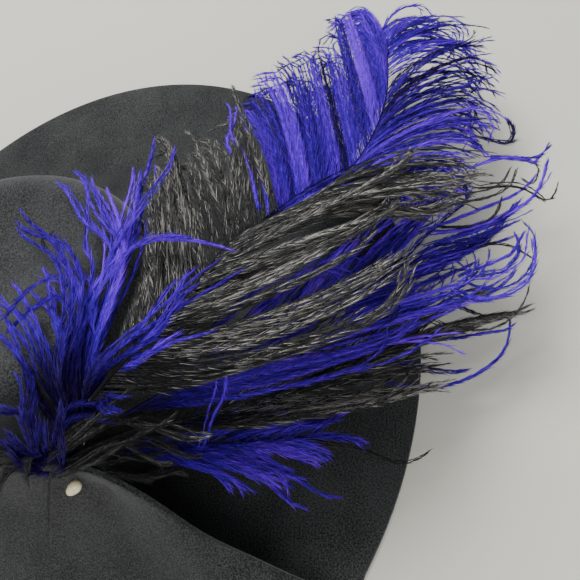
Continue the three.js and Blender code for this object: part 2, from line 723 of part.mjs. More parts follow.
// The pin runs through the flap, the plume roots and the crown's wall, with its end in the pearl.
const axisLean = PEARL_AXIS.dot(flapNormal);
const pearlReach = Math.hypot(
  (PEARL_WIDTH / 2) * Math.sqrt(1 - axisLean * axisLean),
  (PEARL_LENGTH / 2) * axisLean,
);
const pearlPlace = flapOuter + (pearlReach + CLEARANCE) / Math.abs(flapNormal.x);
const pearlBack = pearlPlace - PEARL_WIDTH / 2;
const pinTip = crownInner - PIN_PAST_WALL;
const pinEnd = pearlBack + PEARL_SOCKET;
const pinBore = rod(pinTip - CLEARANCE, pinEnd + CLEARANCE, PIN_RADIUS + CLEARANCE);
const pearl = pearlSolid(pearlPlace);

const group = new THREE.Group();
group.add(named('felt_body', largestBody(felt.subtract(pinBore)), FELT_FINISH));
group.add(named('pearl_head', pearl.subtract(pinBore), PEARL_FINISH));
group.add(named('pin_shaft', rod(pinTip, pinEnd, PIN_RADIUS), STEEL_FINISH));

const rootSpan = (flapInner - crownOuter - 2 * ROOT_MARGIN) / PLUMES.length;
const feltClearance = feltSolid(CLEARANCE);
const taken = [];
PLUMES.forEach((plume, i) => {
  const root = {
    centre: new THREE.Vector3(flapInner - ROOT_MARGIN - rootSpan * (i + 0.5), PIN_BACK, PIN_HEIGHT),
    width: rootSpan - 2 * CLEARANCE,
  };
  const cut = [pinBore, feltClearance, ...taken].reduce(
    (solid, other) => solid.subtract(other), plumeSolid(plume, root, 0),
  );
  taken.push(plumeSolid(plume, root, PLUME_GAP));
  group.add(named(plume.name, largestBody(cut), { ...PLUME_FINISH, color: plume.colour }));
});

// The origin is on the floor, under the middle of the whole hat's box.
const box = new THREE.Box3().setFromObject(group);
const middle = box.getCenter(new THREE.Vector3());
group.position.set(-middle.x, -middle.y, -box.min.z);
group.updateMatrixWorld(true);

export default group;
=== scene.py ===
"""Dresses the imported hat: smooth blocked felt, a pearl-headed pin and seven ostrich plumes."""

import json
import logging
import math
from dataclasses import dataclass, field
from enum import Enum
from typing import Any, Sequence

import bpy
import numpy as np
from mathutils import Matrix, Vector


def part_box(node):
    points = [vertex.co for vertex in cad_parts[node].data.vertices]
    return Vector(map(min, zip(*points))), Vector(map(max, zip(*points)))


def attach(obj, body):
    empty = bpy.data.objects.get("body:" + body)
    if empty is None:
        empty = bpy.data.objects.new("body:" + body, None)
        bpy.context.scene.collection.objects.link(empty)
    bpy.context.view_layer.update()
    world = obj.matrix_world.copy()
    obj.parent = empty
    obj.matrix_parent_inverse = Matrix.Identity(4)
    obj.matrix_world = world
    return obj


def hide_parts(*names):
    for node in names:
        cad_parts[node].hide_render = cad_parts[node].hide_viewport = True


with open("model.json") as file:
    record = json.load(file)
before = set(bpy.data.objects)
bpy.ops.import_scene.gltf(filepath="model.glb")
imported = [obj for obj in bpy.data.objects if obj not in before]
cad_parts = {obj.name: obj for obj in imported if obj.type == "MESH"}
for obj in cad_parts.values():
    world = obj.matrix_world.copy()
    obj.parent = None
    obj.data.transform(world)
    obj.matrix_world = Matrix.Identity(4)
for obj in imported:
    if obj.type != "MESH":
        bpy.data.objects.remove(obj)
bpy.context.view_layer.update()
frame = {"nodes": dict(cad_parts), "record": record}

LOG = logging.getLogger("hat")
ROOT_BODY = "root"
SEED = 1640

# The head's middle lies this far from the brim's rest mount, which stands in front of it.
MOUNT_TO_HEAD = Vector((0.0, 0.160, 0.0))

UPWARD = (0.0, 0.0, 1.0)
TINY = 1e-12

Array = np.ndarray
Paint = tuple[float, float, float, float]


def head_centre() -> Vector:
    """Where the middle of the head lies on the floor, from the record's rest mount."""
    return Vector(frame["record"]["mounts"][0]["pos_m"]) + MOUNT_TO_HEAD


def smooth(value: Array | float) -> Array:
    """A soft step from 0 to 1.

    Args:
        value: How far along the step, clipped to 0 and 1.

    Returns:
        The step's height there.
    """
    share = np.clip(value, 0.0, 1.0)
    return share * share * (3 - 2 * share)


def table_value(rows: Sequence[Any], key: str, column: str, value: Array | float) -> Array:
    """A smooth value between the rows of a table, whose slopes follow the neighbours.

    Args:
        rows: The table's rows, in rising order of key.
        key: The field that the rows are ordered by.
        column: The field to read.
        value: Where to read it.

    Returns:
        The column's value at each place.
    """
    keys = np.array([getattr(row, key) for row in rows])
    cells = np.array([getattr(row, column) for row in rows])
    order = np.arange(len(rows))
    low, high = np.maximum(order - 1, 0), np.minimum(order + 1, len(rows) - 1)
    slopes = (cells[high] - cells[low]) / (keys[high] - keys[low])
    place = np.clip(value, keys[0], keys[-1])
    k = np.clip(np.searchsorted(keys, place, side="right") - 1, 0, len(rows) - 2)
    span = keys[k + 1] - keys[k]
    t = (place - keys[k]) / span
    leave = slopes[k] * span * t * (1 - t) ** 2
    arrive = slopes[k + 1] * span * t * t * (1 - t)
    return cells[k] + (cells[k + 1] - cells[k]) * smooth(t) + leave - arrive


def unit(vectors: Array) -> Array:
    """The vectors at a length of 1."""
    return vectors / (np.linalg.norm(vectors, axis=-1, keepdims=True) + TINY)


def side_and_up(run: Array) -> tuple[Array, Array]:
    """The level direction beside each run, and the one that stands on both."""
    side = unit(np.cross(run, UPWARD))
    return side, np.cross(side, run)


def new_object(name: str, mesh: bpy.types.Mesh) -> bpy.types.Object:
    """Puts a mesh in the scene as an object at the origin.

    Args:
        name: The piece's name.
        mesh: Its mesh, in the row frame.

    Returns:
        The new object.
    """
    piece = bpy.data.objects.new(name, mesh)
    bpy.context.scene.collection.objects.link(piece)
    return piece


def start_fresh() -> None:
    """Leaves edit mode and deselects everything, so that an operator acts on its own piece alone."""
    if bpy.context.object and bpy.context.object.mode != "OBJECT":
        bpy.ops.object.mode_set(mode="OBJECT")
    bpy.ops.object.select_all(action="DESELECT")


def pick(piece: bpy.types.Object) -> None:
    """Makes a piece the only one that operators act on.

    Args:
        piece: The piece.
    """
    start_fresh()
    piece.select_set(True)
    bpy.context.view_layer.objects.active = piece


def settle(piece: bpy.types.Object) -> None:
    """Writes a piece's place, turn and scale into its mesh."""
    pick(piece)
    bpy.ops.object.transform_apply(location=True, rotation=True, scale=True)


def apply_modifiers(piece: bpy.types.Object) -> None:
    """Applies every modifier of a piece, in order.

    Args:
        piece: The piece.
    """
    pick(piece)
    for modifier in list(piece.modifiers):
        bpy.ops.object.modifier_apply(modifier=modifier.name)


def dress(piece: bpy.types.Object, material: bpy.types.Material, slot: str, *nodes: str) -> None:
    """Gives a piece its material and says what it stands for.

    Args:
        piece: The finished piece.
        material: Its material.
        slot: The record's material slot.
        nodes: The frame's nodes that it replaces.
    """
    piece.data.materials.clear()
    piece.data.materials.append(material)
    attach(piece, ROOT_BODY)
    if nodes:
        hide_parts(*nodes)
    LOG.info("%s: %d faces, slot %s", piece.name, len(piece.data.polygons), slot)


class Slot(Enum):
    """The record's material slots that the new pieces take."""

    FELT = "black_felt"
    PEARL = "pearl"
    BLACK = "black_plume"
    PURPLE = "purple_plume"


class NodeSheet:
    """A material's node tree, with short ways to add and join nodes."""

    def __init__(self, name: str) -> None:
        """Starts an empty material with a Principled shader.

        Args:
            name: The material's name.
        """
        self.material = bpy.data.materials.new(name)
        self.material.use_nodes = True
        self.tree = self.material.node_tree
        self.shader = self.tree.nodes["Principled BSDF"]

    def add(self, kind: str, **values: Any) -> bpy.types.Node:
        """Adds a node and sets its properties.

        Args:
            kind: The node's type name.
            values: Properties by name.

        Returns:
            The new node.
        """
        node = self.tree.nodes.new(kind)
        for name, value in values.items():
            setattr(node, name, value)
        return node

    def link(self, source: bpy.types.NodeSocket, target: bpy.types.NodeSocket) -> None:
        """Joins one socket to another."""
        self.tree.links.new(source, target)

    def set(self, **values: Any) -> None:
        """Sets constant inputs of the shader, with underscores for the spaces in their names."""
        for name, value in values.items():
            self.shader.inputs[name.replace("_", " ")].default_value = value

    def object_place(self) -> bpy.types.NodeSocket:
        """The Object coordinates, in metres in the row frame."""
        return self.add("ShaderNodeTexCoord").outputs["Object"]

    def noise(self, scale: float, detail: float = 2.0) -> bpy.types.NodeSocket:
        """Adds a noise in the row frame.

        Args:
            scale: How fine it is.
            detail: How many finer layers it has.

        Returns:
            Its value.
        """
        node = self.add("ShaderNodeTexNoise")
        node.inputs["Scale"].default_value = scale
        node.inputs["Detail"].default_value = detail
        self.link(self.object_place(), node.inputs["Vector"])
        return node.outputs[0]

    def ramp(self, mask: bpy.types.NodeSocket, *stops: tuple[float, Paint]) -> bpy.types.NodeSocket:
        """Colours a mask.

        Args:
            mask: What the ramp reads.
            stops: The place and the colour of each stop, in rising order.

        Returns:
            The colour.
        """
        node = self.add("ShaderNodeValToRGB")
        elements = node.color_ramp.elements
        for element, (place, colour) in zip(list(elements), (stops[0], stops[-1])):
            element.position, element.color = place, colour
        for place, colour in stops[1:-1]:
            elements.new(place).color = colour
        self.link(mask, node.inputs["Fac"])
        return node.outputs["Color"]

    def span(self, value: bpy.types.NodeSocket, taken: tuple[float, float],
             given: tuple[float, float]) -> bpy.types.NodeSocket:
        """Maps one range of a value to another.

        Args:
            value: What it reads.
            taken: The range that is read.
            given: The range that comes out.

        Returns:
            The mapped value.
        """
        node = self.add("ShaderNodeMapRange")
        for name, number in zip(("From Min", "From Max", "To Min", "To Max"), (*taken, *given)):
            node.inputs[name].default_value = number
        self.link(value, node.inputs["Value"])
        return node.outputs[0]

    def colour(self, source: bpy.types.NodeSocket) -> None:
        """Joins a colour to the shader."""
        self.link(source, self.shader.inputs["Base Color"])


def group_sockets(
    name: str, inputs: Sequence[tuple[str, str, Any]], outputs: Sequence[tuple[str, str]]
) -> tuple[bpy.types.NodeTree, bpy.types.Node, bpy.types.Node]:
    """Starts a shader node group with named sockets.

    Args:
        name: The group's name.
        inputs: Each input's name, socket type and default.
        outputs: Each output's name and socket type.

    Returns:
        The group, its input node and its output node.
    """
    group = bpy.data.node_groups.new(name, "ShaderNodeTree")
    for label, kind, value in inputs:
        socket = group.interface.new_socket(label, in_out="INPUT", socket_type=kind)
        if value is not None:
            socket.default_value = value
    for label, kind in outputs:
        group.interface.new_socket(label, in_out="OUTPUT", socket_type=kind)
    return group, group.nodes.new("NodeGroupInput"), group.nodes.new("NodeGroupOutput")


def fibre_group() -> bpy.types.NodeTree:
    """The matted fibres of felt and the mottle of a dye, at a fine and a broad scale.

    Returns:
        A group whose Mask is 0 to 1, from Place, Fine, Broad and Blend.
    """
    group, taken, given = group_sockets(
        "matted_fibres",
        [
            ("Place", "NodeSocketVector", None),
            ("Fine", "NodeSocketFloat", 900.0),
            ("Broad", "NodeSocketFloat", 40.0),
            ("Blend", "NodeSocketFloat", 0.3),
        ],
        [("Mask", "NodeSocketFloat")],
    )
    nodes, links = group.nodes, group.links
    masks = []
    for label, detail in (("Fine", 3.0), ("Broad", 2.0)):
        noise = nodes.new("ShaderNodeTexNoise")
        noise.inputs["Detail"].default_value = detail
        noise.inputs["Roughness"].default_value = 0.6
        links.new(taken.outputs["Place"], noise.inputs["Vector"])
        links.new(taken.outputs[label], noise.inputs["Scale"])
        masks.append(noise)
    mix = nodes.new("ShaderNodeMix")
    mix.data_type = "FLOAT"
    links.new(taken.outputs["Blend"], mix.inputs[0])
    links.new(masks[0].outputs[0], mix.inputs[2])
    links.new(masks[1].outputs[0], mix.inputs[3])
    links.new(mix.outputs[0], given.inputs["Mask"])
    return group


@dataclass(frozen=True)
class FeltFinish:
    """Soft matt wool felt: matted fibres, a faint nap and fine pale flecks."""

    dark: Paint = (0.004, 0.0042, 0.0043, 1.0)
    pale: Paint = (0.054, 0.056, 0.055, 1.0)
    fine_scale: float = 1080.0
    broad_scale: float = 26.0
    fleck_scale: float = 520.0
    fleck_colour: Paint = (0.115, 0.117, 0.12, 1.0)
    bump: float = 0.35
    bump_depth: float = 0.0006
    sheen: float = 0.22
    sheen_tint: Paint = (0.85, 0.87, 0.9, 1.0)
    sheen_roughness: float = 0.55
    specular: float = 0.15
    roughness: float = 0.95
    blend: float = 0.22
    dark_at: float = 0.40
    pale_at: float = 0.62
    fleck_detail: float = 4.0
    fleck_taken: tuple[float, float] = (0.68, 0.78)
    fleck_given: tuple[float, float] = (0.0, 0.35)

    def build(self) -> bpy.types.Material:
        """Makes the felt's material.

        Returns:
            The material.
        """
        sheet = NodeSheet("wool_felt")
        sheet.set(Roughness=self.roughness, Sheen_Weight=self.sheen, Sheen_Tint=self.sheen_tint,
                  Sheen_Roughness=self.sheen_roughness, Specular_IOR_Level=self.specular)
        fibres = sheet.add("ShaderNodeGroup", node_tree=fibre_group())
        for name, value in (("Fine", self.fine_scale), ("Broad", self.broad_scale), ("Blend", self.blend)):
            fibres.inputs[name].default_value = value
        sheet.link(sheet.object_place(), fibres.inputs["Place"])
        mask = fibres.outputs["Mask"]
        fleck = sheet.noise(self.fleck_scale, self.fleck_detail)
        mix = sheet.add("ShaderNodeMix", data_type="RGBA")
        mix.inputs[7].default_value = self.fleck_colour
        sheet.link(sheet.span(fleck, self.fleck_taken, self.fleck_given), mix.inputs[0])
        sheet.link(sheet.ramp(mask, (self.dark_at, self.dark), (self.pale_at, self.pale)), mix.inputs[6])
        sheet.colour(mix.outputs[2])
        bump = sheet.add("ShaderNodeBump")
        bump.inputs["Strength"].default_value = self.bump
        bump.inputs["Distance"].default_value = self.bump_depth
        sheet.link(mask, bump.inputs["Height"])
        sheet.link(bump.outputs["Normal"], sheet.shader.inputs["Normal"])
        return sheet.material


@dataclass(frozen=True)
class PlumeFinish:
    """Dyed ostrich: each flue and each barbule takes its own tone of the dye. The tone also carries painted
    shade and painted glints, and the ramp runs from the dye in painted shade to a painted highlight.
    """

    name: str
    deep: Paint
    middle: Paint
    lit: Paint
    sheen: float
    sheen_tint: Paint
    roughness: float
    specular: float
    turn: float = 0.5
    sheen_roughness: float = 0.4
    mottle_scale: float = 120.0
    mottle_detail: float = 3.0
    mottle_share: float = 0.14
    deep_at: float = 0.1
    lit_at: float = 0.92

    def build(self) -> bpy.types.Material:
        """Makes the dyed feather's material from the strands' own tone attribute.

        Returns:
            The material.
        """
        sheet = NodeSheet(self.name)
        sheet.set(Roughness=self.roughness, Sheen_Weight=self.sheen, Sheen_Tint=self.sheen_tint,
                  Sheen_Roughness=self.sheen_roughness, Specular_IOR_Level=self.specular)
        tone = sheet.add("ShaderNodeAttribute", attribute_name="tone")
        mixed = sheet.add("ShaderNodeMix", data_type="FLOAT")
        mixed.inputs[0].default_value = self.mottle_share
        sheet.link(tone.outputs["Fac"], mixed.inputs[2])
        sheet.link(sheet.noise(self.mottle_scale, self.mottle_detail), mixed.inputs[3])
        # Low tones take the dye in painted shade, high tones a painted highlight.
        sheet.colour(sheet.ramp(mixed.outputs[0], (self.deep_at, self.deep), (self.turn, self.middle),
                                (self.lit_at, self.lit)))
        return sheet.material


@dataclass(frozen=True)
class PearlFinish:
    """Warm cream pearl with a soft coat and a faint cloud below it."""

    pale: Paint = (0.86, 0.80, 0.55, 1.0)
    warm: Paint = (0.64, 0.54, 0.31, 1.0)
    cloud_scale: float = 260.0
    warm_at: float = 0.3
    pale_at: float = 0.6
    roughness: float = 0.28
    coat: float = 0.7
    coat_roughness: float = 0.12
    specular: float = 0.6

    def build(self) -> bpy.types.Material:
        """Makes the pearl's material.

        Returns:
            The material.
        """
        sheet = NodeSheet("cream_pearl")
        sheet.set(Roughness=self.roughness, Coat_Weight=self.coat, Coat_Roughness=self.coat_roughness,
                  Specular_IOR_Level=self.specular)
        cloud = sheet.noise(self.cloud_scale)
        sheet.colour(sheet.ramp(cloud, (self.warm_at, self.warm), (self.pale_at, self.pale)))
        return sheet.material


@dataclass(frozen=True)
class SteelFinish:
    """Plain bright steel with fine drawn streaks."""

    colour: Paint = (0.62, 0.62, 0.63, 1.0)
    streak_scale: float = 2400.0
    roughness: tuple[float, float] = (0.22, 0.4)

    def build(self) -> bpy.types.Material:
        """Makes the pin's material.

        Returns:
            The material.
        """
        sheet = NodeSheet("bright_steel")
        sheet.set(Metallic=1.0, Base_Color=self.colour)
        streaks = sheet.span(sheet.noise(self.streak_scale), (0.0, 1.0), self.roughness)
        sheet.link(streaks, sheet.shader.inputs["Roughness"])
        return sheet.material


@dataclass(frozen=True)
class FlapRow:
    """A section of the rolled-up side. out and up are shares, lean is in degrees above +X."""

    along: float
    out: float
    up: float
    lean: float


@dataclass(frozen=True)
class Crease:
    """A soft fold that runs down the rolled-up side from the pin.

    back and height are its two ends, in metres in the head's frame.
    """

    back_top: float
    height_top: float
    back_foot: float
    height_foot: float
    depth: float
    width: float


@dataclass
class FeltHat:
    """The blocked felt: crown, brim and rolled-up side as one thin wall, in metres."""

    felt: float = 0.0028
    brim_side: float = 0.240
    brim_back: float = 0.216
    head_side: float = 0.085
    head_back: float = 0.103
    top_side: float = 0.072
    top_back: float = 0.091
    crown_height: float = 0.114
    shoulder: float = 0.017
    break_radius: float = 0.007
    dent_depth: float = 0.011
    dent_lean: float = 0.35
    dent_towards: float = 150.0
    far_rise: float = 0.008
    far_rise_start: float = 0.4
    roll_start_gap: float = 0.015
    roll_corner: float = 0.180
    flap_height: float = 0.083
    flap_standoff: float = 0.008
    pin_back: float = 0.061
    pin_height: float = 0.073
    pin_dimple: float = 0.003
    dimple_width: float = 0.016
    edge_bevel: float = 0.0005
    bevel_segments: int = 2
    angles: int = 220
    dish_rings: int = 14
    shoulder_rings: int = 8
    wall_rings: int = 8
    break_rings: int = 5
    flat_rings: int = 18
    roll_rings: int = 34
    fold_share_most: float = 0.92
    fold_share_least: float = 0.35
    fold_fade: float = 0.6
    crease_fade: float = 0.55
    dome_start: float = 0.78
    far_cover: float = 0.6
    least_head: float = 1e-6
    least_foot: float = 1.0001
    least_length: float = 1e-5
    curve_samples: int = 65
    share_halvings: int = 24
    length_halvings: int = 20
    edge_angle: float = 60.0
    smooth_angle: float = 50.0
    rows: tuple[FlapRow, ...] = (
        FlapRow(0, 0, 1, 101),
        FlapRow(0.29, 0, 0.99, 101),
        FlapRow(0.42, 0.03, 0.93, 104),
        FlapRow(0.525, 0.2, 0.81, 112),
        FlapRow(0.65, 0.525, 0.53, 130),
        FlapRow(0.765, 0.72, 0.3, 148),
        FlapRow(0.86, 0.875, 0.14, 160),
        FlapRow(0.93, 0.96, 0.05, 166),
        FlapRow(1, 1, 0, 170),
    )
    creases: tuple[Crease, ...] = (
        Crease(0.060, 0.069, 0.030, 0.022, 0.0030, 0.0055),
        Crease(0.074, 0.066, 0.058, 0.022, 0.0026, 0.0060),
    )

    def rim_side(self, back: Array | float) -> Array:
        """How far out the flat rim reaches along X at a place along Y."""
        return self.brim_side * np.sqrt(np.maximum(1 - (back / self.brim_back) ** 2, 0))

    def roll_start(self, back: Array | float) -> Array:
        """Where the roll starts at a place along Y. It meets the rim at the corner.

        Args:
            back: Places along Y.

        Returns:
            The roll's start along X.
        """
        middle = self.head_side + self.roll_start_gap
        share = np.abs(back) / self.roll_corner
        return middle + (self.rim_side(self.roll_corner) - middle) * share * share

    def flat_place(self, angle: Array, share: Array) -> tuple[Array, Array]:
        """The flat brim's side and back at an angle and a share of the way out to the rim.

        Args:
            angle: Angles round the head.
            share: Shares of the way out.

        Returns:
            The places along X and along Y.
        """
        inner_side = self.head_side + self.break_radius
        inner_back = self.head_back + self.break_radius
        side = inner_side + (self.brim_side - inner_side) * share
        back = inner_back + (self.brim_back - inner_back) * share
        return side * np.cos(angle), back * np.sin(angle)

    def fold_share(self, angle: Array) -> Array:
        """The share of the way out at which the brim's rings close up.

        Args:
            angle: Angles round the head.

        Returns:
            A share for each angle.
        """
        corner = math.asin(self.roll_corner / self.brim_back)
        turn = np.abs(np.arctan2(np.sin(angle), np.cos(angle)))
        low, high = np.zeros_like(angle), np.ones_like(angle)
        for _ in range(self.share_halvings):
            trial = (low + high) / 2
            side, back = self.flat_place(angle, trial)
            inside = side < self.roll_start(back)
            low, high = np.where(inside, trial, low), np.where(inside, high, trial)
        fade = smooth((turn - corner) / self.fold_fade)
        plain = self.fold_share_most + (self.fold_share_least - self.fold_share_most) * fade
        return np.where(turn >= corner, plain, np.minimum(low, self.fold_share_most))

    def roll_curves(self, back: Array) -> tuple[Array, Array]:
        """The rolled felt's section at each place along Y, which keeps the felt's length.

        Args:
            back: Places along Y.

        Returns:
            Points of each section in X and Z, and the lengths up to each point.
        """
        along = np.abs(back) / self.roll_corner
        start = self.roll_start(back)
        length = np.maximum(self.rim_side(back) - start, self.least_length)
        middle = self.head_side + self.flap_standoff
        reach_out = self.rim_side(self.roll_corner) - middle
        out = table_value(self.rows, "along", "out", along)
        up = table_value(self.rows, "along", "up", along)
        lean = np.radians(table_value(self.rows, "along", "lean", along))
        begin = np.stack([start, np.full_like(start, self.felt)], -1)
        end = np.stack([middle + reach_out * out, self.felt + self.flap_height * up], -1)
        t = np.linspace(0, 1, self.curve_samples)[None, :, None]

        def points(reach: Array) -> Array:
            """The sections' points.

            Args:
                reach: How long each section's handles are.

            Returns:
                The points along each section.
            """
            leave = begin + np.stack([reach, np.zeros_like(reach)], -1)
            arrive = end - np.stack([np.cos(lean) * reach, np.sin(lean) * reach], -1)
            arrive[:, 1] = np.maximum(arrive[:, 1], self.felt)
            return (begin[:, None] * (1 - t) ** 3 + leave[:, None] * 3 * t * (1 - t) ** 2
                    + arrive[:, None] * 3 * t * t * (1 - t) + end[:, None] * t ** 3)

        low, high = np.zeros_like(length), length.copy()
        for _ in range(self.length_halvings):
            trial = (low + high) / 2
            made = np.linalg.norm(np.diff(points(trial), axis=1), axis=-1).sum(1)
            low, high = np.where(made < length, trial, low), np.where(made < length, high, trial)
        line = points(low)
        steps = np.linalg.norm(np.diff(line, axis=1), axis=-1)
        return line, np.concatenate([np.zeros((len(back), 1)), np.cumsum(steps, 1)], 1)

    def folds(self, back: Array, height: Array) -> Array:
        """How deep the dimple and the creases press the rolled-up side at a place on it.

        Args:
            back: Places along Y.
            height: Places along Z.

        Returns:
            The depths.
        """
        off = np.hypot(back - self.pin_back, height - self.pin_height) / self.dimple_width
        depth = self.pin_dimple * np.exp(-off * off)
        for crease in self.creases:
            run_back = crease.back_foot - crease.back_top
            run_height = crease.height_foot - crease.height_top
            span = run_back ** 2 + run_height ** 2
            t = ((back - crease.back_top) * run_back + (height - crease.height_top) * run_height) / span
            near = np.clip(t, 0, 1)
            gap = np.hypot(back - crease.back_top - near * run_back,
                           height - crease.height_top - near * run_height)
            fade = 1 - self.crease_fade * near
            depth = depth + crease.depth * fade * np.exp(-(gap / crease.width) ** 2)
        return depth

    def brim(self, angle: Array, share: Array) -> Array:
        """The brim's upper face: flat, gently raised on the far side, rolled up on the near one.

        Args:
            angle: Angles round the head.
            share: Shares of the way out to the rim, for each angle.

        Returns:
            A point for each angle.
        """
        side, back = self.flat_place(angle, share)
        away = np.maximum(-side / self.brim_side, 0)
        rise = smooth((share - self.far_rise_start) / (1 - self.far_rise_start))
        made = np.stack([side, back, self.felt + self.far_rise * rise * away * away], -1)
        start = self.roll_start(back)
        rolled = np.flatnonzero((side > start) & (np.abs(back) < self.roll_corner))
        if len(rolled):
            line, lengths = self.roll_curves(back[rolled])
            span = self.rim_side(back[rolled]) - start[rolled]
            part = np.clip((side[rolled] - start[rolled]) / span, 0, 1)
            for row, index in enumerate(rolled):
                want = part[row] * lengths[row, -1]
                x = np.interp(want, lengths[row], line[row, :, 0])
                z = np.interp(want, lengths[row], line[row, :, 1])
                upper = float(smooth(part[row] * 2 - 1))
                made[index] = x - upper * float(self.folds(back[index], z)), back[index], z
        return made

    def dent(self, share: Array | float, angle: Array | float) -> Array:
        """How deep the crown's dished top lies.

        Args:
            share: Shares of the top's radius.
            angle: Angles round the head.

        Returns:
            The depths.
        """
        towards = math.radians(self.dent_towards)
        lean = 4 * share * (1 - share) * np.maximum(np.cos(angle - towards), 0)
        return self.dent_depth * ((1 - share * share) ** 2 + self.dent_lean * lean)

    def rings(self) -> list[Array]:
        """Rings of the upper face, from near the crown's middle down to the rim.

        Returns:
            The rings, with a point for each angle.
        """
        angle = np.arange(self.angles) * 2 * math.pi / self.angles
        flat_side, flat_back = self.top_side - self.shoulder, self.top_back - self.shoulder

        def ring(side: float, back: float, height: Array | float) -> Array:
            """An oval ring at a height."""
            level = np.broadcast_to(height, angle.shape)
            return np.stack([side * np.cos(angle), back * np.sin(angle), level], -1)

        made = []
        for i in range(1, self.dish_rings + 1):
            share = i / (self.dish_rings + 1)
            height = self.crown_height - self.dent(share, angle)
            made.append(ring(flat_side * share, flat_back * share, height))
        for i in range(self.shoulder_rings + 1):
            turn = i / self.shoulder_rings * math.pi / 2
            out = self.shoulder * math.sin(turn)
            height = self.crown_height - self.shoulder * (1 - math.cos(turn))
            made.append(ring(flat_side + out, flat_back + out, height))
        wall_top, wall_foot = self.crown_height - self.shoulder, self.felt + self.break_radius
        for i in range(1, self.wall_rings + 1):
            share = i / self.wall_rings
            made.append(ring(self.top_side + (self.head_side - self.top_side) * share,
                             self.top_back + (self.head_back - self.top_back) * share,
                             wall_top + (wall_foot - wall_top) * share))
        for i in range(1, self.break_rings + 1):
            turn = i / self.break_rings * math.pi / 2
            out = self.break_radius * (1 - math.cos(turn))
            height = self.felt + self.break_radius * (1 - math.sin(turn))
            made.append(ring(self.head_side + out, self.head_back + out, height))
        folds = self.fold_share(angle)
        for step in range(1, self.flat_rings + self.roll_rings + 1):
            past = max(step - self.flat_rings, 0) / self.roll_rings
            flat = min(step / self.flat_rings, 1)
            made.append(self.brim(angle, folds * flat + (1 - folds) * past))
        return made

    def cover(self, place: Array) -> Array:
        """How high the felt's upper face is above a place, for what lies on the hat.

        Args:
            place: Points in the head's frame.

        Returns:
            The felt's height there, without the rolled-up side.
        """
        side, back = place[..., 0], place[..., 1]
        top = np.hypot(side / self.top_side, back / self.top_back)
        head = np.maximum(np.hypot(side / self.head_side, back / self.head_back), self.least_head)
        foot = np.maximum(top / head, self.least_foot)
        down = np.clip((top - 1) / (foot - 1), 0, 1)
        wall_top = self.crown_height - self.shoulder
        wall = wall_top + (self.felt + self.break_radius - wall_top) * down
        edge = np.clip((top - self.dome_start) / (1 - self.dome_start), 0, 1)
        crown = wall_top + self.shoulder * np.sqrt(1 - edge * edge)
        return np.where(top < 1, crown, np.where(head < 1, wall, self.felt + self.far_rise * self.far_cover))

    def build(self, material: bpy.types.Material, centre: Vector) -> bpy.types.Object:
        """Extrudes a disc ring by ring, lays it on the hat's form and gives it its thickness.

        Args:
            material: The felt's finish.
            centre: The middle of the head in the row frame.

        Returns:
            The felt as one closed piece.
        """
        made = self.rings()
        start_fresh()
        spacing = 0.01
        bpy.ops.mesh.primitive_circle_add(vertices=self.angles, radius=spacing, fill_type="TRIFAN")
        hat = bpy.context.object
        hat.name = hat.data.name = "blocked_felt"
        bpy.ops.object.mode_set(mode="EDIT")
        bpy.ops.mesh.select_mode(type="EDGE")
        bpy.ops.mesh.select_all(action="DESELECT")
        bpy.ops.mesh.select_non_manifold(extend=False)
        for ring in range(1, len(made)):
            grow = (ring + 1) / ring
            bpy.ops.mesh.extrude_edges_move()
            bpy.ops.transform.resize(value=(grow, grow, 1))
        bpy.ops.object.mode_set(mode="OBJECT")
        flat = np.zeros(len(hat.data.vertices) * 3)
        hat.data.vertices.foreach_get("co", flat)
        flat = flat.reshape(-1, 3)
        row = np.rint(np.hypot(flat[:, 0], flat[:, 1]) / spacing).astype(int) - 1
        turn = np.arctan2(flat[:, 1], flat[:, 0]) / (2 * math.pi) * self.angles
        column = np.rint(turn).astype(int) % self.angles
        points = np.stack(made)[np.maximum(row, 0), column]
        points[row < 0] = 0, 0, self.crown_height - float(self.dent(0.0, 0.0))
        points += np.array(centre)
        hat.data.vertices.foreach_set("co", points.ravel())
        hat.data.update()
        bpy.ops.object.mode_set(mode="EDIT")
        bpy.ops.mesh.select_all(action="SELECT")
        bpy.ops.mesh.normals_make_consistent(inside=False)
        bpy.ops.object.mode_set(mode="OBJECT")
        upward = sum(face.normal.z for face in hat.data.polygons if face.center.z < self.felt * 2)
        if upward < 0:
            hat.data.flip_normals()
        wall = hat.modifiers.new("wall", "SOLIDIFY")
        wall.thickness, wall.offset, wall.use_even_offset = self.felt, -1.0, False
        edge = hat.modifiers.new("edge", "BEVEL")
        edge.width, edge.segments, edge.limit_method = self.edge_bevel, self.bevel_segments, "ANGLE"
        edge.angle_limit = math.radians(self.edge_angle)
        apply_modifiers(hat)
        settle(hat)
        bpy.ops.object.shade_smooth_by_angle(angle=math.radians(self.smooth_angle))
        dress(hat, material, Slot.FELT.value, "felt_body")
        return hat


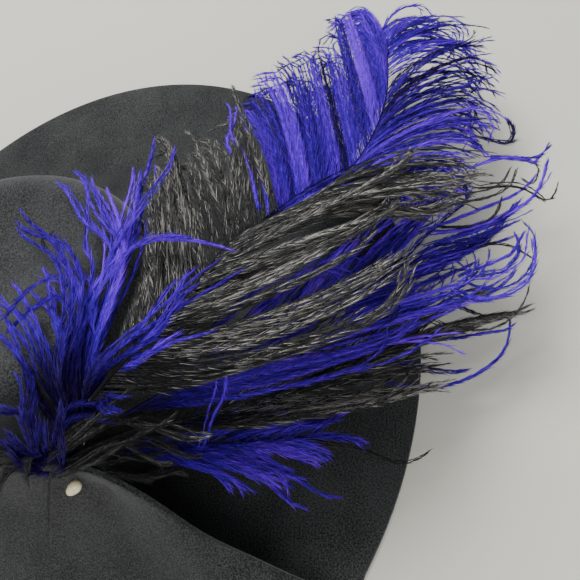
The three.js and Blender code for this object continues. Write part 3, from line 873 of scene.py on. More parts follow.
@dataclass
class Pearl:
    """The pin's pearl: an egg that lies against the felt, its narrower end forward and down."""

    width: float = 0.0066
    length: float = 0.0096
    axis: tuple[float, float, float] = (-0.44, 0.78, 0.44)
    narrowing: float = 0.2
    rings: int = 32
    segments: int = 48
    unevenness: float = 0.01
    waves: tuple[float, float, float] = (4.0, 3.0, 2.0)

    def build(self, material: bpy.types.Material) -> bpy.types.Object:
        """Shapes a sphere into the pearl's egg, in the place of its node.

        Args:
            material: The pearl's finish.

        Returns:
            The pearl.
        """
        low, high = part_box("pearl_head")
        start_fresh()
        bpy.ops.mesh.primitive_uv_sphere_add(segments=self.segments, ring_count=self.rings, radius=1.0)
        pearl = bpy.context.object
        pearl.name = pearl.data.name = "pearl"
        for vertex in pearl.data.vertices:
            x, y, z = vertex.co
            narrow = 1 - self.narrowing * float(smooth((z + 1) / 2))
            bend = math.sin(Vector(self.waves).dot(vertex.co))
            wave = (1 + self.unevenness * bend) * narrow * self.width / 2
            vertex.co = x * wave, y * wave, z * self.length / 2
        pearl.rotation_mode = "QUATERNION"
        pearl.rotation_quaternion = Vector((0, 0, -1)).rotation_difference(Vector(self.axis).normalized())
        pearl.location = (low + high) / 2
        settle(pearl)
        pearl.data.update()
        bpy.ops.object.shade_smooth()
        dress(pearl, material, Slot.PEARL.value, "pearl_head")
        return pearl


class Line:
    """A smooth line through places, read by its share of length."""

    near = 0.01

    def __init__(self, places: Array, samples: int = 24) -> None:
        """Runs a centripetal curve through the places.

        Args:
            places: The points that it goes through.
            samples: How many steps each stretch has.
        """
        knots = np.concatenate([[0], np.cumsum(np.sqrt(np.linalg.norm(np.diff(places, axis=0), axis=1)))])
        slopes = np.gradient(places, knots, axis=0)
        points = [places[:1]]
        for k in range(len(places) - 1):
            span = knots[k + 1] - knots[k]
            t = (np.arange(1, samples + 1) / samples)[:, None]
            a, b = places[k], places[k + 1]
            points.append(a * (1 + 2 * t) * (1 - t) ** 2 + b * t * t * (3 - 2 * t)
                          + slopes[k] * span * t * (1 - t) ** 2 - slopes[k + 1] * span * t * t * (1 - t))
        self.points = np.concatenate(points)
        steps = np.linalg.norm(np.diff(self.points, axis=0), axis=1)
        self.lengths = np.concatenate([[0], np.cumsum(steps)])
        self.length = float(self.lengths[-1])

    def place(self, share: Array | float) -> Array:
        """The points at shares of the line's length."""
        want = np.asarray(share) * self.length
        return np.stack([np.interp(want, self.lengths, self.points[:, k]) for k in range(3)], -1)

    def direction(self, share: Array | float) -> Array:
        """The unit directions at shares of the line's length.

        Args:
            share: The shares.

        Returns:
            The directions.
        """
        ahead, behind = (self.place(np.clip(np.asarray(share) + step, 0, 1))
                         for step in (self.near, -self.near))
        return unit(ahead - behind)


@dataclass
class Strands:
    """Many closed tubes and spikes gathered into one mesh, with a tone for each point."""

    points: list[Array] = field(default_factory=list)
    faces: list[Array] = field(default_factory=list)
    tones: list[Array] = field(default_factory=list)
    count: int = 0

    def add(self, points: Array, faces: Array, tones: Array) -> None:
        """Adds points, the triangles between them and their tones.

        Args:
            points: The points.
            faces: Three of their numbers for each triangle.
            tones: A tone for each point.
        """
        self.points.append(points)
        self.faces.append(faces + self.count)
        self.tones.append(tones)
        self.count += len(points)

    def tubes(self, paths: Array, radii: Array, sides: int, tones: Array) -> None:
        """Adds a tapered closed tube along each path.

        Args:
            paths: The paths, one row of points each.
            radii: The radius at each point of each path.
            sides: How many sides a tube has.
            tones: The tone at each point of each path, or one for them all.
        """
        many, steps = paths.shape[:2]
        side, up = side_and_up(unit(np.gradient(paths, axis=1)))
        turns = np.arange(sides) * 2 * math.pi / sides
        ring = (side[:, :, None] * np.cos(turns)[:, None] + up[:, :, None] * np.sin(turns)[:, None])
        points = paths[:, :, None] + ring * radii[:, :, None, None]
        index = np.arange(many * steps * sides).reshape(many, steps, sides)
        after = np.roll(index, -1, axis=2)
        a, b = index[:, :-1], after[:, :-1]
        c, d = after[:, 1:], index[:, 1:]
        faces = [np.stack([a, b, c], -1).reshape(-1, 3), np.stack([a, c, d], -1).reshape(-1, 3)]
        for k in range(1, sides - 1):
            faces.append(np.stack([index[:, 0, 0], index[:, 0, k + 1], index[:, 0, k]], -1))
            faces.append(np.stack([index[:, -1, 0], index[:, -1, k], index[:, -1, k + 1]], -1))
        shades = np.broadcast_to(tones, (many, steps)).ravel()
        self.add(points.reshape(-1, 3), np.concatenate(faces), np.repeat(shades, sides))

    def spikes(self, roots: Array, tips: Array, radius: Array, tones: Array) -> None:
        """Adds a thin closed spike from each root to its tip.

        Args:
            roots: Where the spikes start.
            tips: Where they end.
            radius: Each spike's radius at its root.
            tones: Each spike's tone.
        """
        side, up = side_and_up(unit(tips - roots))
        corners = [roots + (side * math.cos(turn) + up * math.sin(turn)) * radius[:, None]
                   for turn in (corner * 2 * math.pi / 3 for corner in range(3))]
        points = np.stack([*corners, tips], 1)
        ends = points.shape[1]
        first = np.arange(len(roots))[:, None] * ends
        faces = np.concatenate([first + np.array(corner) for corner in
                                ((0, 2, 1), (0, 1, 3), (1, 2, 3), (2, 0, 3))])
        self.add(points.reshape(-1, 3), faces, np.repeat(tones, ends))

    def mesh(self, name: str) -> bpy.types.Mesh:
        """Makes the mesh and its tone attribute.

        Args:
            name: The mesh's name.

        Returns:
            The new mesh.
        """
        points, faces = np.concatenate(self.points), np.concatenate(self.faces)
        mesh = bpy.data.meshes.new(name)
        mesh.vertices.add(len(points))
        mesh.vertices.foreach_set("co", points.astype(np.float32).ravel())
        mesh.loops.add(len(faces) * 3)
        mesh.loops.foreach_set("vertex_index", faces.astype(np.int32).ravel())
        mesh.polygons.add(len(faces))
        mesh.polygons.foreach_set("loop_start", np.arange(0, len(faces) * 3, 3, dtype=np.int32))
        mesh.polygons.foreach_set("loop_total", np.full(len(faces), 3, dtype=np.int32))
        mesh.update(calc_edges=True)
        tone = mesh.attributes.new("tone", "FLOAT", "POINT")
        tone.data.foreach_set("value", np.concatenate(self.tones).astype(np.float32))
        return mesh


@dataclass(frozen=True)
class Place:
    """A place by shares of the brim's side, the brim's back and the crown's height."""

    side: float
    back: float
    up: float


@dataclass(frozen=True)
class VaneRow:
    """How flues leave the quill at a share of its length.

    reach and drop are in metres. leave and arrive are degrees off the quill, at root and tip.
    """

    at: float
    reach: float
    leave: float
    arrive: float
    drop: float


@dataclass(frozen=True)
class Vane:
    """One side of a feather: hand is 1 on the quill's right and -1 on its left.

    curl and clump are in degrees, lift and layers in metres. gather is how far a lock's flues close
    up at its tip, and even is how far the flues follow the vane's outer edge instead of the quill.
    """

    hand: int
    flues: int
    rows: tuple[VaneRow, ...]
    curl: float = 60.0
    lift: float = 0.006
    clump: float = 5.0
    layers: float = 0.012
    gather: float = 0.45
    even: float = 0.6
    curl_start: float = 0.66
    uneven: float = 0.09


@dataclass(frozen=True)
class Lock:
    """A bundle of loose flues that runs from the pin by two places and on past them to its tip."""

    root: Place
    via: Place
    end: Place
    flues: int = 8
    spread: float = 0.005
    curl: float = 55.0
    from_pin: bool = True
    past: tuple[Place, ...] = ()


@dataclass(frozen=True)
class Plume:
    """One feather or tuft: its quill's line, its vanes and its loose locks.

    node is the frame's node that it replaces, or nothing. barbule is a barbule's length in metres,
    and density is how many barbules a metre of flue has.
    """

    name: str
    node: str
    slot: Slot
    spine: tuple[Place, ...] = ()
    vanes: tuple[Vane, ...] = ()
    locks: tuple[Lock, ...] = ()
    barbule: float = 0.0088
    density: float = 1770.0
    quill: float = 0.0011
    tone: float = 0.5
    # Painted shade: the share of its tone that a flue keeps where it lies deepest in shade, next to the pin.
    root_shade: float = 0.25
    # Spread of each barbule's tone: partly random tone, partly painted glints of barbules that catch the
    # light.
    glint_and_tone_spread: float = 0.2
    vary: float = 0.2


@dataclass(frozen=True)
class FlueHabit:
    """How a vane's flues differ. lock_curl is a middle and a spread, other pairs a least and a most."""

    place: tuple[float, float] = (0.1, 0.9)
    clump: float = 0.3
    lock_curl: tuple[float, float] = (0.5, 0.5)
    curl: float = 0.4
    reach: tuple[float, float] = (0.72, 1.04)
    reach_power: float = 0.7
    rise: tuple[float, float] = (0.2, 1.0)
    lock_layer: tuple[float, float] = (-0.5, 0.5)
    layer: float = 0.0008
    drop_power: float = 1.6
    tone: float = 0.12
    taper: float = 0.7
    core_shade: float = 0.8
    core_tones: tuple[float, float] = (0.02, 0.98)


@dataclass(frozen=True)
class LockHabit:
    """How a loose lock's flues differ, by shares of its length, its spread or its curl.

    layer is a middle and a spread, and the other pairs are a least and a most.
    """

    pin_begin: float = 0.28
    begin: float = 0.12
    ribbon_stop: tuple[float, float] = (0.8, 1.0)
    stop: tuple[float, float] = (0.94, 1.0)
    closed: float = 0.3
    open_power: float = 0.8
    ribbon_taper: float = 0.7
    hook: float = 0.7
    ribbon_hook: float = 0.35
    hook_reach: float = 0.12
    hook_start: float = 0.6
    layer: tuple[float, float] = (0.2, 0.5)
    root_layer: float = 0.3


@dataclass(frozen=True)
class BarbuleHabit:
    """How barbules differ and how they change along their flue. Pairs are a least and a most."""

    fewest: int = 8
    place: tuple[float, float] = (0.0, 0.985)
    place_power: float = 0.95
    roll: tuple[float, float] = (-0.3, 0.3)
    roll_middle: float = 0.25
    twist: tuple[float, float] = (-0.5, 0.5)
    angle: float = 0.25
    tuck: float = 0.06
    least: float = 0.3
    grown: float = 0.1
    thin_start: float = 0.5
    thin_run: float = 0.35
    thin: float = 0.25
    end_start: float = 0.85
    end_run: float = 0.15
    end: float = 0.4
    size: tuple[float, float] = (0.6, 1.15)
    thick: tuple[float, float] = (0.7, 1.2)
    clearance: float = 0.0005
    floor: float = 0.001


@dataclass
class PlumeMaker:
    """Turns a plume's description into flues and barbules that lie on the hat."""

    hat: FeltHat
    centre: Vector
    flue: FlueHabit = FlueHabit()
    loose: LockHabit = LockHabit()
    barb: BarbuleHabit = BarbuleHabit()
    lift: float = 0.005
    stations: int = 14
    flue_radius: float = 0.00030
    barbule_radius: float = 0.00022
    barbule_angle: float = 14.0
    barbule_close: float = 6.0
    flues_per_lock: float = 5.0
    edge_samples: int = 96
    flue_sides: int = 3
    ribbon_flues: int = 3
    ribbon_spread: float = 0.0007
    # Painted shade: flues darken within these distances of the pin, and along the first part of each flue's
    # own length.
    shadow_start: float = 0.024
    shadow_end: float = 0.092
    root_light: float = 0.8
    root_light_run: float = 0.5
    smoothings: int = 3
    quill_samples: int = 48
    quill_sides: int = 8
    quill_taper: float = 0.7
    quill_tone: float = 0.06
    pin_root: Place = Place(.345, .28, .61)
    clearance: float = 0.0025
    floor: float = 0.003

    def put(self, place: Place) -> Array:
        """A table's place in the head's frame, in metres."""
        hat = self.hat
        return np.array([place.side * hat.brim_side, place.back * hat.brim_back,
                         place.up * hat.crown_height + self.lift])

    def settle_on_felt(self, paths: Array) -> Array:
        """Raises each path where it would sink into the felt, and smooths what was raised.

        Args:
            paths: The paths, one row of points each.

        Returns:
            The paths, clear of the felt and the floor.
        """
        need = np.maximum(self.hat.cover(paths) + self.clearance, self.floor)
        lack = np.maximum(need - paths[..., 2], 0)
        spread = lack.copy()
        for _ in range(self.smoothings):
            padded = np.pad(spread, ((0, 0), (1, 1)), mode="edge")
            spread = np.maximum(lack, (padded[:, :-2] + padded[:, 1:-1] + padded[:, 2:]) / 3)
        made = paths.copy()
        made[..., 2] += spread
        return made

    def flue_roots(self, spine: Line, vane: Vane, rng: np.random.Generator) -> Array:
        """Where flues leave the quill, so that their tips lie evenly along the vane's edge.

        Args:
            spine: The quill's line.
            vane: The vane's description.
            rng: Where its small differences come from.

        Returns:
            A share of the quill's length for each flue.
        """
        trial = np.linspace(vane.rows[0].at, vane.rows[-1].at, self.edge_samples)
        root, run = spine.place(trial), spine.direction(trial)
        reach, leave, arrive = (table_value(vane.rows, "at", name, trial)
                                for name in ("reach", "leave", "arrive"))
        angle = np.arctan2(run[:, 1], run[:, 0]) - vane.hand * np.radians((leave + arrive) / 2)
        tips = root[:, :2] + np.stack([np.cos(angle), np.sin(angle)], -1) * reach[:, None]
        edge, quill = (np.linalg.norm(np.diff(line, axis=0), axis=1) for line in (tips, root))
        lengths = np.concatenate([[0], np.cumsum(vane.even * edge + (1 - vane.even) * quill)])
        order = (np.arange(vane.flues) + rng.uniform(*self.flue.place, vane.flues)) / vane.flues
        return np.interp(order * lengths[-1], lengths, trial)

    def vane_paths(self, spine: Line, vane: Vane, rng: np.random.Generator) -> tuple[Array, Array]:
        """The flues of one vane, gathered into pointed locks.

        Args:
            spine: The quill's line.
            vane: The vane's description.
            rng: Where its small differences come from.

        Returns:
            One path for each flue, and the number of each flue's lock.
        """
        count, flue = vane.flues, self.flue
        at = self.flue_roots(spine, vane, rng)
        root, run = spine.place(at), spine.direction(at)
        heading = np.arctan2(run[:, 1], run[:, 0])
        read = {name: table_value(vane.rows, "at", name, at) for name in ("reach", "leave", "arrive", "drop")}
        share = np.linspace(0, 1, self.stations)[None, :]
        lock = np.cumsum(rng.random(count) < 1 / self.flues_per_lock)
        locks = lock[-1] + 1
        clump = rng.normal(0, 1, locks)[lock] + rng.normal(0, flue.clump, count)
        curl = (rng.normal(*flue.lock_curl, locks)[lock] + rng.normal(0, flue.curl, count)) * vane.curl
        bend = (read["arrive"] - read["leave"])[:, None] * share
        tip = smooth((share - vane.curl_start) / (1 - vane.curl_start)) * curl[:, None]
        turn = read["leave"][:, None] + bend + vane.clump * clump[:, None] * share + tip
        angle = heading[:, None] - vane.hand * np.radians(turn)
        reach = read["reach"] * rng.uniform(1 - vane.uneven, 1 + vane.uneven, locks)[lock]
        reach *= rng.uniform(*flue.reach, count) ** flue.reach_power
        step = (reach / (self.stations - 1))[:, None]
        level = np.stack([np.cos(angle) * step, np.sin(angle) * step, np.zeros_like(angle)], -1)
        paths = np.concatenate([root[:, None], root[:, None] + np.cumsum(level[:, :-1], axis=1)], 1)
        rise = rng.uniform(*flue.rise, locks)[lock] * vane.lift
        layer = rng.uniform(*flue.lock_layer, locks)[lock] * vane.layers + rng.normal(0, flue.layer, count)
        height = rise[:, None] * 4 * share * (1 - share) + layer[:, None] * share
        paths[..., 2] += height - read["drop"][:, None] * share ** flue.drop_power
        sums = np.zeros((locks, self.stations, 3))
        np.add.at(sums, lock, paths)
        middle = sums / np.maximum(np.bincount(lock, minlength=locks), 1)[:, None, None]
        paths = paths + (middle[lock] - paths) * (vane.gather * smooth(share))[..., None]
        return self.settle_on_felt(paths), lock

    def lock_paths(self, lock: Lock, rng: np.random.Generator) -> Array:
        """The flues of one loose lock, widest in its middle and closed up at its tip.

        Args:
            lock: The lock's description.
            rng: Where its small differences come from.

        Returns:
            One path for each flue.
        """
        count, loose = lock.flues, self.loose
        places = [lock.root, lock.via, lock.end, *lock.past]
        if lock.from_pin:
            places.insert(0, self.pin_root)
        line = Line(np.array([self.put(place) for place in places]))
        share = np.linspace(0, 1, self.stations)[None, :]
        ribbon = np.arange(count) // self.ribbon_flues
        ribbons = ribbon[-1] + 1
        begin = rng.uniform(0.0, loose.pin_begin if lock.from_pin else loose.begin, count)[:, None]
        stop = (rng.uniform(*loose.ribbon_stop, ribbons)[ribbon] * rng.uniform(*loose.stop, count))[:, None]
        paths = line.place(begin + (stop - begin) * share)
        run = line.direction(begin + (stop - begin) * share)
        side = unit(np.stack([-run[..., 1], run[..., 0], np.zeros_like(run[..., 0])], -1))
        along = share[..., None]
        open_up = loose.closed + (1 - loose.closed) * np.sin(math.pi * along ** loose.open_power)
        fan = rng.normal(0, 1, (ribbons, 1, 1))[ribbon] * lock.spread * open_up
        fan = fan + rng.normal(0, self.ribbon_spread, (count, 1, 1)) * (1 - loose.ribbon_taper * along)
        hook = rng.normal(0, loose.hook) + rng.normal(0, loose.ribbon_hook, (ribbons, 1, 1))[ribbon]
        curl = np.radians(hook * lock.curl) * line.length * loose.hook_reach
        hooked = smooth((along - loose.hook_start) / (1 - loose.hook_start))
        paths = paths + side * (fan + curl * hooked)
        layer = rng.normal(*loose.layer, (ribbons, 1))[ribbon] * lock.spread
        paths[..., 2] += layer * (loose.root_layer + share)
        paths[..., 2] += rng.normal(0, self.ribbon_spread / 2, (count, 1))
        return self.settle_on_felt(paths)

    def feather(self, strands: Strands, paths: Array, lock: Array, plume: Plume,
                rng: np.random.Generator) -> None:
        """Adds the flues' cores and the fine barbules that lie close along them.

        Args:
            strands: What they are gathered into.
            paths: One path for each flue.
            lock: The number of each flue's lock, which shares its tone.
            plume: The plume that they belong to.
            rng: Where their small differences come from.
        """
        count, flue, barb = len(paths), self.flue, self.barb
        share = np.linspace(0, 1, self.stations)
        tone = rng.normal(plume.tone, plume.vary, lock[-1] + 1)[lock] + rng.normal(0, flue.tone, count)
        # Painted shade: tones darken towards the pin and towards each flue's root, where the plume's middle
        # lies in shade.
        away = np.linalg.norm(paths - self.put(self.pin_root), axis=-1) - self.shadow_start
        along_flue = self.root_light + (1 - self.root_light) * smooth(share / self.root_light_run)
        light = smooth(away / (self.shadow_end - self.shadow_start)) * along_flue
        painted_shade = plume.root_shade + (1 - plume.root_shade) * light
        radii = np.broadcast_to(self.flue_radius * (1 - flue.taper * share), (count, self.stations))
        core = np.clip(tone[:, None] * flue.core_shade * painted_shade, *flue.core_tones)
        strands.tubes(paths, radii, self.flue_sides, core)
        lengths = np.linalg.norm(np.diff(paths, axis=1), axis=-1).sum(1)
        many = np.maximum((lengths * plume.density).astype(int), barb.fewest)
        owner = np.repeat(np.arange(count), many)
        every = len(owner)
        along = rng.uniform(*barb.place, every) ** barb.place_power
        station = along * (self.stations - 1)
        k = np.minimum(station.astype(int), self.stations - 2)
        part = (station - k)[:, None]
        root = paths[owner, k] * (1 - part) + paths[owner, k + 1] * part
        run = unit(paths[owner, k + 1] - paths[owner, k])
        roll = (rng.uniform(*barb.roll, count) + barb.roll_middle)[owner]
        roll += rng.uniform(*barb.twist, count)[owner] * along
        side, up = side_and_up(run)
        across = side * np.cos(roll)[:, None] + up * np.sin(roll)[:, None]
        over = np.cross(across, run)
        hand = rng.choice([-1.0, 1.0], every)
        angle = self.barbule_angle - self.barbule_close * along
        spread = np.radians(angle * rng.normal(1, barb.angle, every))
        tuck = rng.normal(0, barb.tuck, every)
        heading = (run * np.cos(spread)[:, None] + across * (hand * np.sin(spread))[:, None]
                   + over * tuck[:, None])
        thinned = (barb.thin * smooth((along - barb.thin_start) / barb.thin_run)
                   + barb.end * smooth((along - barb.end_start) / barb.end_run))
        profile = smooth(along / barb.grown) * (1 - thinned)
        size = plume.barbule * (barb.least + (1 - barb.least) * profile) * rng.uniform(*barb.size, every)
        tips = root + heading * size[:, None]
        low = self.hat.cover(tips) + barb.clearance
        tips[:, 2] = np.maximum(tips[:, 2], np.maximum(low, barb.floor))
        # Each barbule takes the painted shade of its flue at that point.
        lit = painted_shade[owner, k] * (1 - part[:, 0]) + painted_shade[owner, k + 1] * part[:, 0]
        # The spread gives random tone and painted glints.
        shade = (tone[owner] + rng.normal(0, plume.glint_and_tone_spread, every)) * lit
        thick = self.barbule_radius * rng.uniform(*barb.thick, every)
        strands.spikes(root, tips, thick, np.clip(shade, 0, 1))

    def build(self, plume: Plume, material: bpy.types.Material, seed: int) -> bpy.types.Object:
        """Makes one plume.

        Args:
            plume: Its description.
            material: Its finish.
            seed: What its small differences start from.

        Returns:
            The plume as one piece.
        """
        rng = np.random.default_rng(seed)
        fine = np.random.default_rng([seed, 1])
        strands = Strands()
        if plume.spine:
            spine = Line(np.array([self.put(place) for place in plume.spine]))
            share = np.linspace(0, 1, self.quill_samples)
            radii = plume.quill * (1 - self.quill_taper * share)
            strands.tubes(spine.place(share)[None], radii[None], self.quill_sides, np.array(self.quill_tone))
            for vane in plume.vanes:
                self.feather(strands, *self.vane_paths(spine, vane, rng), plume, fine)
        for lock in plume.locks:
            paths = self.lock_paths(lock, rng)
            self.feather(strands, paths, np.zeros(len(paths), dtype=int), plume, fine)
        mesh = strands.mesh(plume.name)
        mesh.transform(Matrix.Translation(self.centre))
        piece = new_object(plume.name, mesh)
        dress(piece, material, plume.slot.value, *([plume.node] if plume.node else []))
        return piece


LONG_VIOLET_LINE = (
    Place(.28, .35, .76), Place(.2, .47, .83), Place(-.02, .59, .77), Place(-.14, .73, .68),
    Place(-.29, .87, .61), Place(-.48, .95, .56), Place(-.7, .96, .49), Place(-.84, .935, .43),
)
LONG_BLACK_LINE = (
    Place(.29, .37, .88), Place(.23, .48, 1.01), Place(.12, .58, 1.01), Place(-.02, .66, .95),
    Place(-.1, .75, .87), Place(-.17, .84, .8),
)

